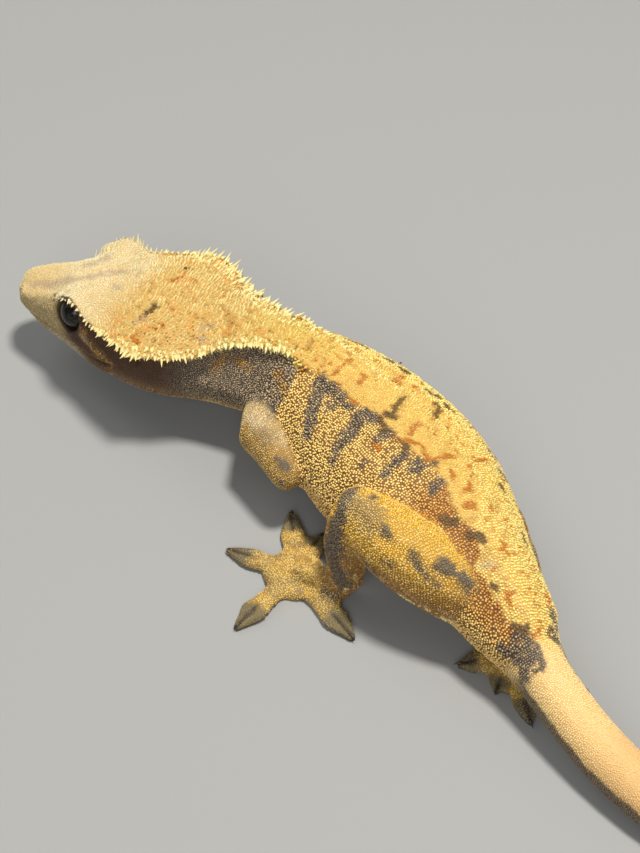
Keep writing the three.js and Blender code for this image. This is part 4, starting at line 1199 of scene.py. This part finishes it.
def unwrapSkin():  # a light copy of the skin, laid flat
    twin = addObject("flatSkin", skin.data.copy())
    thin = twin.modifiers.new("thin", "DECIMATE")
    thin.ratio = unwrapSetup["kept"]
    applyAll(twin)
    editWhole(twin, lambda: bpy.ops.uv.smart_project(angle_limit=unwrapSetup["bend"],
                                                     island_margin=unwrapSetup["margin"]))
    mesh = twin.data
    layer = mesh.uv_layers.active.data
    mesh.calc_loop_triangles()
    corners = readPoints(twin)
    faces = [t.vertices[:] for t in mesh.loop_triangles]
    flat = np.array([[layer[i].uv[:] for i in t.loops] for t in mesh.loop_triangles])
    shape = corners[np.array(faces)]
    bpy.data.objects.remove(twin)
    return BVHTree.FromPolygons([Vector(c) for c in corners], faces), shape, flat


flatTree, flatShape, flatCorners = unwrapSkin()


def flatPlace(points):  # where each point falls on the unwrapped skin
    found = [flatTree.find_nearest(Vector(p)) for p in points]
    face = np.array([f[2] for f in found])
    p = np.array([f[0] for f in found])
    a, b, c = flatShape[face, 0], flatShape[face, 1], flatShape[face, 2]
    whole = np.linalg.norm(np.cross(b - a, c - a), axis=1)
    wa = np.linalg.norm(np.cross(b - p, c - p), axis=1) / np.maximum(whole, 1e-9)
    wb = np.linalg.norm(np.cross(c - p, a - p), axis=1) / np.maximum(whole, 1e-9)
    wc = np.clip(1 - wa - wb, 0, 1)
    uv = flatCorners[face]
    return uv[:, 0] * wa[:, None] + uv[:, 1] * wb[:, None] + uv[:, 2] * wc[:, None]


def lieOf(points, parts, normals):  # the way the scales lean: back along the trunk, down each limb
    _, _, _, nearest = bodyPlace(points)
    lie = spineBack[nearest].copy()
    for name in limbNodes:
        end = ("foot_" if name.startswith(("thigh", "shin", "foot")) else "hand_") + name.split("_")[-1]
        mine = parts == partNumber[name]
        away = np.array([*feet[end][0], 0.5]) + home - points[mine]
        lie[mine] = -away if name == end else away
    lie -= (lie * normals).sum(1)[:, None] * normals
    return unit(lie)


def cones(c):  # for each scale two rings and a tip
    sides = coatSetup["sides"]
    across = np.cross(c.normals, c.lie)
    turn = draws(len(c.points), 17) * 2 * math.pi
    rings = []
    for wide, rise, slide in ((1.0, -0.12, 0.0), (c.sharp, 0.55, 0.45)):  # shares of radius, height and lean
        for k in range(sides):
            a = turn + 2 * math.pi * k / sides
            flat = np.cos(a)[:, None] * c.lie + np.sin(a)[:, None] * across
            rings.append(c.points + flat * (c.radius * wide)[:, None] + c.normals * (c.height * rise)[:, None]
                         + c.lie * (c.height * c.lean * slide)[:, None])
    rings.append(c.points + c.normals * c.height[:, None] + c.lie * (c.height * c.lean)[:, None])
    return np.stack(rings, axis=1)


def coneFaces(n):
    sides = coatSetup["sides"]
    quads = [[k, (k + 1) % sides, sides + (k + 1) % sides, sides + k] for k in range(sides)]
    tips = [[sides + k, sides + (k + 1) % sides, 2 * sides] for k in range(sides)]
    start = (np.arange(n) * (2 * sides + 1))[:, None, None]
    return np.array(quads)[None] + start, np.array(tips)[None] + start


def coatPiece(name, c):
    n, sides = len(c.points), coatSetup["sides"]
    quads, tips = coneFaces(n)
    corners = np.concatenate([quads.reshape(n, -1), tips.reshape(n, -1)], axis=1).ravel()
    totals = np.tile([4] * sides + [3] * sides, n)
    mesh = bpy.data.meshes.new(name)
    mesh.vertices.add(n * (2 * sides + 1))
    mesh.vertices.foreach_set("co", (cones(c).reshape(-1, 3) / perMetre).ravel())
    mesh.loops.add(len(corners))
    mesh.loops.foreach_set("vertex_index", corners)
    mesh.polygons.add(len(totals))
    mesh.polygons.foreach_set("loop_start", np.concatenate([[0], np.cumsum(totals)[:-1]]))
    mesh.polygons.foreach_set("use_smooth", np.ones(len(totals), bool))
    mesh.update(calc_edges=True)
    obj = addObject(name, mesh)
    rings = [np.repeat(mixTones(c.root, c.tip, share)[:, None], sides, 1) for share in (c.foot, 0.85)]
    colours = np.concatenate([*rings, c.tip[:, None] * 1.1], axis=1)
    paint(obj, np.clip(colours.reshape(-1, 3), 0, 1))
    a = np.arange(sides) * 2 * math.pi / sides
    ring = np.stack([np.cos(a), np.sin(a)], axis=1) * coatSetup["flatScale"]
    local = np.concatenate([ring, ring * coatSetup["flatTop"], [[0, 0]]])
    layer = mesh.uv_layers.new(name="OFBake")
    perPoint = (c.uv[:, None] + local[None]).reshape(-1, 2)
    layer.data.foreach_set("uv", perPoint[corners].ravel())
    return obj


def dressScales(points, parts):  # place, lie, size and colour of every scale
    s, _, above, _ = bodyPlace(points)
    normals = surfaceNormals(points)
    lie = lieOf(points, parts, normals)
    tip, root = markingsAndShade(points, parts)
    first, second, third = (draws(len(points), seed) for seed in (29, 37, 43))
    calm = np.where(s > vent, 0.35, 1.0)
    tip = tip * (1 + calm * 0.32 * (first - 0.5))[:, None]
    tip = mixTones(tip, shades["pale"], calm * 0.4 * smoothStep(third, 0.72, 0.9) * (tip.max(1) > 0.3))
    table = np.array(list(scaleKinds.values()))[kindOf(points, parts)]
    apart, width, rise, lean, sharp, foot, stray = table.T
    lie = unit(lie + np.cross(normals, lie) * (stray * (2 * third - 1))[:, None])
    groove = hump(mouthGap(s, above), 0, 0.25) * (s < 24) * (parts == partNumber["head"])
    return s, {
        "points": points, "normals": normals, "lie": lie, "tip": tip, "root": root, "foot": foot,
        "radius": scaleSpacing * width * (0.85 + 0.3 * second),
        "height": apart * rise * (0.62 + 0.76 * first) * (1 - 0.7 * groove),
        "lean": lean, "sharp": sharp, "uv": flatPlace(points),
    }


def scaleCoat(material):
    parts = partOf(scalePoints, tree, owner)
    s, look = dressScales(scalePoints, parts)
    for part, name in enumerate(fleshNodes):
        mine = np.where(parts == part)[0]
        pieces = max(1, math.ceil(len(mine) / coatSetup["perPiece"]))
        order = mine[np.argsort(s[mine], kind="stable")]
        slot = "skin_limb" if name in limbNodes else "skin_tail" if "tail" in name else "skin_crown"
        for k, chosen in enumerate(np.array_split(order, pieces)):
            label = "scales_" + name + (f"_{k + 1}" if pieces > 1 else "")
            obj = coatPiece(label, SimpleNamespace(**{key: values[chosen] for key, values in look.items()}))
            finishPiece(obj, material, slot)


# Materials

finishes = {  # roughness, strength of the fine bumps, their grain in millimetres
    "softSkin": (0.62, 0.5, 0.25),
    "scaleHorn": (0.42, 0.25, 0.18),
    "crestHorn": (0.48, 0.3, 0.2),
    "wetEye": (0.16, 0.02, 0.4),
    "clawHorn": (0.34, 0.15, 0.3),
}
finishSetup = {"shade": (0.86, 1.12), "smoother": 0.1, "rougher": 0.12, "bumpDepth": 0.0001, "detail": 4}


def makeFinish(name):
    roughness, bump, grain = finishes[name]
    material = bpy.data.materials.new(name)
    material.use_nodes = True
    nodes, links = material.node_tree.nodes, material.node_tree.links
    shader = nodes["Principled BSDF"]
    colour = nodes.new("ShaderNodeVertexColor")
    colour.layer_name = coatLayer
    place = nodes.new("ShaderNodeTexCoord")
    noise = nodes.new("ShaderNodeTexNoise")
    noise.inputs["Scale"].default_value = perMetre / grain
    noise.inputs["Detail"].default_value = finishSetup["detail"]
    links.new(place.outputs["Object"], noise.inputs["Vector"])

    def fromNoise(low, high):
        scaled = nodes.new("ShaderNodeMapRange")
        scaled.inputs["To Min"].default_value = low
        scaled.inputs["To Max"].default_value = high
        links.new(noise.outputs["Fac"], scaled.inputs["Value"])
        return scaled.outputs["Result"]

    shade = nodes.new("ShaderNodeVectorMath")
    shade.operation = "SCALE"
    links.new(colour.outputs["Color"], shade.inputs[0])
    links.new(fromNoise(*finishSetup["shade"]), shade.inputs["Scale"])
    links.new(shade.outputs["Vector"], shader.inputs["Base Color"])
    rough = fromNoise(roughness - finishSetup["smoother"], roughness + finishSetup["rougher"])
    links.new(rough, shader.inputs["Roughness"])
    bumps = nodes.new("ShaderNodeBump")
    bumps.inputs["Strength"].default_value = bump
    bumps.inputs["Distance"].default_value = finishSetup["bumpDepth"]
    links.new(noise.outputs["Fac"], bumps.inputs["Height"])
    links.new(bumps.outputs["Normal"], shader.inputs["Normal"])
    return material


finishPiece(skin, makeFinish("softSkin"), "skin_crown", *fleshNodes)
scaleCoat(makeFinish("scaleHorn"))
print("scales are set")


# Crest spines: one pointed cone after another along the edge of the crest, on both sides

spineSetup = {
    # from, to, spacing, length at each end, half width, how far it leans back, how far inside the edge
    "rows": [
        (11.0, 14.5, 0.55, (0.75, 0.7), 0.20, 0.00, 2.1),
        (12.0, 17.5, 0.62, (0.65, 0.7), 0.20, 0.00, 1.1),
        (11.5, 20.0, 0.72, (0.75, 0.75), 0.22, 0.00, 0.0),
        (20.0, 26.0, 0.60, (0.8, 1.2), 0.24, 0.10, 0.0),
        (26.0, 34.0, 0.62, (1.4, 1.2), 0.27, 0.30, 0.0),
        (34.0, 46.0, 0.72, (1.2, 1.1), 0.32, 0.45, 0.0),
        (46.0, 56.0, 0.85, (1.0, 0.6), 0.30, 0.60, 0.0),
        (56.0, 66.0, 1.00, (0.6, 0.4), 0.30, 0.60, 0.0),
        (21.0, 34.0, 0.75, (0.7, 1.0), 0.28, 0.30, 0.8),
        (34.0, 50.0, 0.80, (1.0, 0.7), 0.30, 0.50, 0.8),
        (25.0, 48.0, 0.90, (0.8, 0.7), 0.30, 0.50, 1.8),
    ],
    "nearEnd": 50,  # the near side's rows end here
    "browEnd": 19,  # up to here the far side has the taller spines of the brow
    "browLonger": 1.5,
    "shift": (-0.15, 0.35), "farShift": 0.4,  # each spine's place in from the row
    "rise": (0.1, 0.8), "nearRise": -0.5, "browRise": (1.2, 2.6),
    "stray": 0.45,
    "length": (0.35, 1.3), "half": (0.8, 1.2), "apart": (0.55, 1.45),  # each spine's own share of its row's
    "bend": 0.15,
}
hornSides = 6
hornRings = ((-0.45, 1.15), (0.0, 1.0), (0.35, 0.62), (0.7, 0.28))  # share of the length, share of the width


def pointedCone(root, direction, length, half, bend):
    sides = hornSides
    along = unit(direction)
    across = unit(np.cross(along, up + 0.01))
    over = np.cross(along, across)
    rings = []
    for share, wide in hornRings:
        middle = root + along * length * share + bend * length * max(share, 0) ** 2
        for k in range(sides):
            a = 2 * math.pi * k / sides
            rings.append(middle + half * wide * (math.cos(a) * across + 0.85 * math.sin(a) * over))
    rings.append(root + along * length + bend * length)
    faces = [list(range(sides))[::-1]]
    for ring in range(len(hornRings)):
        for k in range(sides):
            a, b = ring * sides + k, ring * sides + (k + 1) % sides
            last = ring == len(hornRings) - 1
            faces.append([a, b, len(hornRings) * sides] if last else [a, b, b + sides, a + sides])
    return np.array(rings), faces


def hornColours(rootTone, tipTone, *shares):  # from root to tip, one share for each ring
    return mixTones(rootTone, tipTone, np.append(np.repeat(shares, hornSides), 1.0))


def joinShapes(name, shapes, colours):
    points, faces = [], []
    for corners, sides in shapes:
        start = sum(len(done) for done in points)
        points.append(corners)
        faces += [[i + start for i in f] for f in sides]
    obj = makePiece(name, np.vstack(points), faces)
    turnOutwards(obj)
    paint(obj, np.vstack(colours))
    return obj


def unwrapShape(obj):
    layer = obj.data.uv_layers.new(name="OFBake")
    corners = readAll(obj.data.loops, "vertex_index", int, 1)[:, 0]
    layer.data.foreach_set("uv", flatPlace(readPoints(obj))[corners].ravel())


def rowEnd(start, end, side, inside):  # the near side has only the rows on the edge
    if side < 0:
        return end
    return min(end, spineSetup["nearEnd"]) if inside < 1 or start > 13 else 0


def crestSpine(random, side, at, row):
    start, end, _, lengths, half, lean, inside = row
    back = unit(alongSpine(at, spineBack))
    out = np.cross(back, up) * side
    farBrow = side < 0 and at < spineSetup["browEnd"]
    inside += (random.uniform(*spineSetup["shift"]) + spineSetup["farShift"] * (side < 0)) * (at > 20)
    edge = spinePoint(at, side * (np.interp(at, crestAt, crestOut) - inside), crestHeight(at) + 0.3 * inside)
    root = np.array(skinTree.find_nearest(Vector(edge))[0])
    if farBrow:
        rise = random.uniform(*spineSetup["browRise"])
    else:
        rise = random.uniform(*spineSetup["rise"]) + spineSetup["nearRise"] * (side > 0)
    stray = random.uniform(-spineSetup["stray"], spineSetup["stray"])
    direction = out + up * rise + back * (lean + stray)
    length = np.interp(at, (start, end), lengths) * random.uniform(*spineSetup["length"])
    length = length * (spineSetup["browLonger"] if farBrow else 1)
    half = half * random.uniform(*spineSetup["half"])
    cone = pointedCone(root, direction, length, half, spineSetup["bend"] * up)
    base = mixTones(shades["crownFront"], shades["crownRear"], smoothStep(np.array(at), 16, 22))
    foot = mixTones(base, shades["gapCrown"], random.uniform(0.0, 0.4))
    tip = mixTones(shades["spineTip"], base, 0.5 * smoothStep(np.array(at), 32, 38))
    return cone, hornColours(foot, tip, 0.0, 0.2, 0.6, 0.9)


def crestSpines(material):
    random = np.random.default_rng(12)
    for side, name in ((1, "left"), (-1, "right")):
        spines = []
        for row in spineSetup["rows"]:
            start, end, spacing, *_, inside = row
            at = start
            while at < rowEnd(start, end, side, inside):
                spines.append(crestSpine(random, side, at, row))
                at += spacing * random.uniform(*spineSetup["apart"])
        obj = joinShapes(f"crest_spines_{name}", *zip(*spines))
        unwrapShape(obj)
        finishPiece(obj, material, "skin_crown")


crestSpines(makeFinish("crestHorn"))
print("crest spines are set")


# Eyes: a dark ball with a veined iris and a slit pupil

eyeSetup = {
    "radius": 2.78,
    "bulge": 0.12,
    "iris": 2.3,  # how far the iris reaches from the pupil's middle
    "rimWide": 0.35,
    "slit": 0.26, "slitTall": 1.9,  # half width and half height of the pupil
    "slitWave": (0.05, 7),
    "gaze": (1.0, -0.16, 0.10),  # out, back and up
    "rings": 72,
    "shine": {"Specular IOR Level": 0.15, "Coat Weight": 0.2, "Coat Roughness": 0.03},
}


def eyeColours(points, front):
    x, y = points[:, 0], points[:, 1]
    reach = np.hypot(x, y)
    turn = np.arctan2(y, x)
    tall, (wave, often) = eyeSetup["slitTall"], eyeSetup["slitWave"]
    slit = eyeSetup["slit"] * (1 - (y / tall) ** 2) + wave * np.sin(often * y)
    inSlit = smoothStep(slit - np.abs(x), -0.05, 0.05) * (np.abs(y) < tall) * (front > 0)
    veins = clouds(np.stack([np.cos(turn) * 5, np.sin(turn) * 5, reach * 1.6], axis=1), 0.5, 71)
    iris = mixTones(shades["iris"], shades["irisVein"], smoothStep(veins, 0.0, 0.4) * 0.45)
    rim = smoothStep(reach, eyeSetup["iris"] - eyeSetup["rimWide"], eyeSetup["iris"]) + (front < 0)
    colour = mixTones(iris, shades["eyeRim"], np.clip(rim, 0, 1))
    return mixTones(colour, shades["pupil"], inSlit)


def makeEye(node, side, material):
    low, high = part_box(node)
    centre = np.array((low + high) / 2 * perMetre)
    at = bodyPlace(centre[None])[0][0]
    back = unit(alongSpine(at, spineBack))
    out = np.cross(back, up) * side
    gaze = unit(sum(way * share for way, share in zip((out, back, up), eyeSetup["gaze"])))
    above = unit(up - gaze * gaze[2])
    beside = np.cross(gaze, above)
    bpy.ops.object.select_all(action="DESELECT")
    bpy.ops.mesh.primitive_uv_sphere_add(segments=eyeSetup["rings"], ring_count=eyeSetup["rings"] // 2,
                                         radius=eyeSetup["radius"] / perMetre, location=(0, 0, 0))
    eye = bpy.context.object
    eye.name = f"eyeball_{node.split('_')[1]}"
    points = readPoints(eye)
    front = unit(points)[:, 2]
    points *= (1 + eyeSetup["bulge"] / eyeSetup["radius"] * smoothStep(front, 0.75, 1.0))[:, None]
    paint(eye, eyeColours(points, front))
    writePoints(eye, points @ np.array([beside, above, gaze]) + centre)
    turnOutwards(eye)
    finishPiece(eye, material, "eye", node)


wetEye = makeFinish("wetEye")
for socket, value in eyeSetup["shine"].items():
    wetEye.node_tree.nodes["Principled BSDF"].inputs[socket].default_value = value
for node, side in eyeNodes.items():
    makeEye(node, side, wetEye)
print("eyes are set")


# Claws: short hooked cones at the toe tips

clawSetup = {"length": 0.9, "half": 0.2, "start": 0.2, "drop": 0.5, "height": 0.85, "tilt": 0.12}


def clawsOf(foot, material):
    palm, toes = feet[foot]
    claws = []
    for degrees, length in toes:
        a = math.radians(degrees)
        along = np.array([math.cos(a), math.sin(a), 0.0])
        reach = length - clawSetup["start"]
        root = np.array([*palm, 0.0]) + home + along * reach + up * clawSetup["height"]
        cone = pointedCone(root, along + up * clawSetup["tilt"], clawSetup["length"], clawSetup["half"],
                           -up * clawSetup["drop"])
        claws.append((cone, hornColours(shades["clawRoot"], shades["clawTip"], 0.0, 0.3, 0.7, 1.0)))
    obj = joinShapes("claws_" + foot, *zip(*claws))
    finishPiece(obj, material, "skin_limb")


clawHorn = makeFinish("clawHorn")
for foot in feet:
    clawsOf(foot, clawHorn)
print("claws are set")
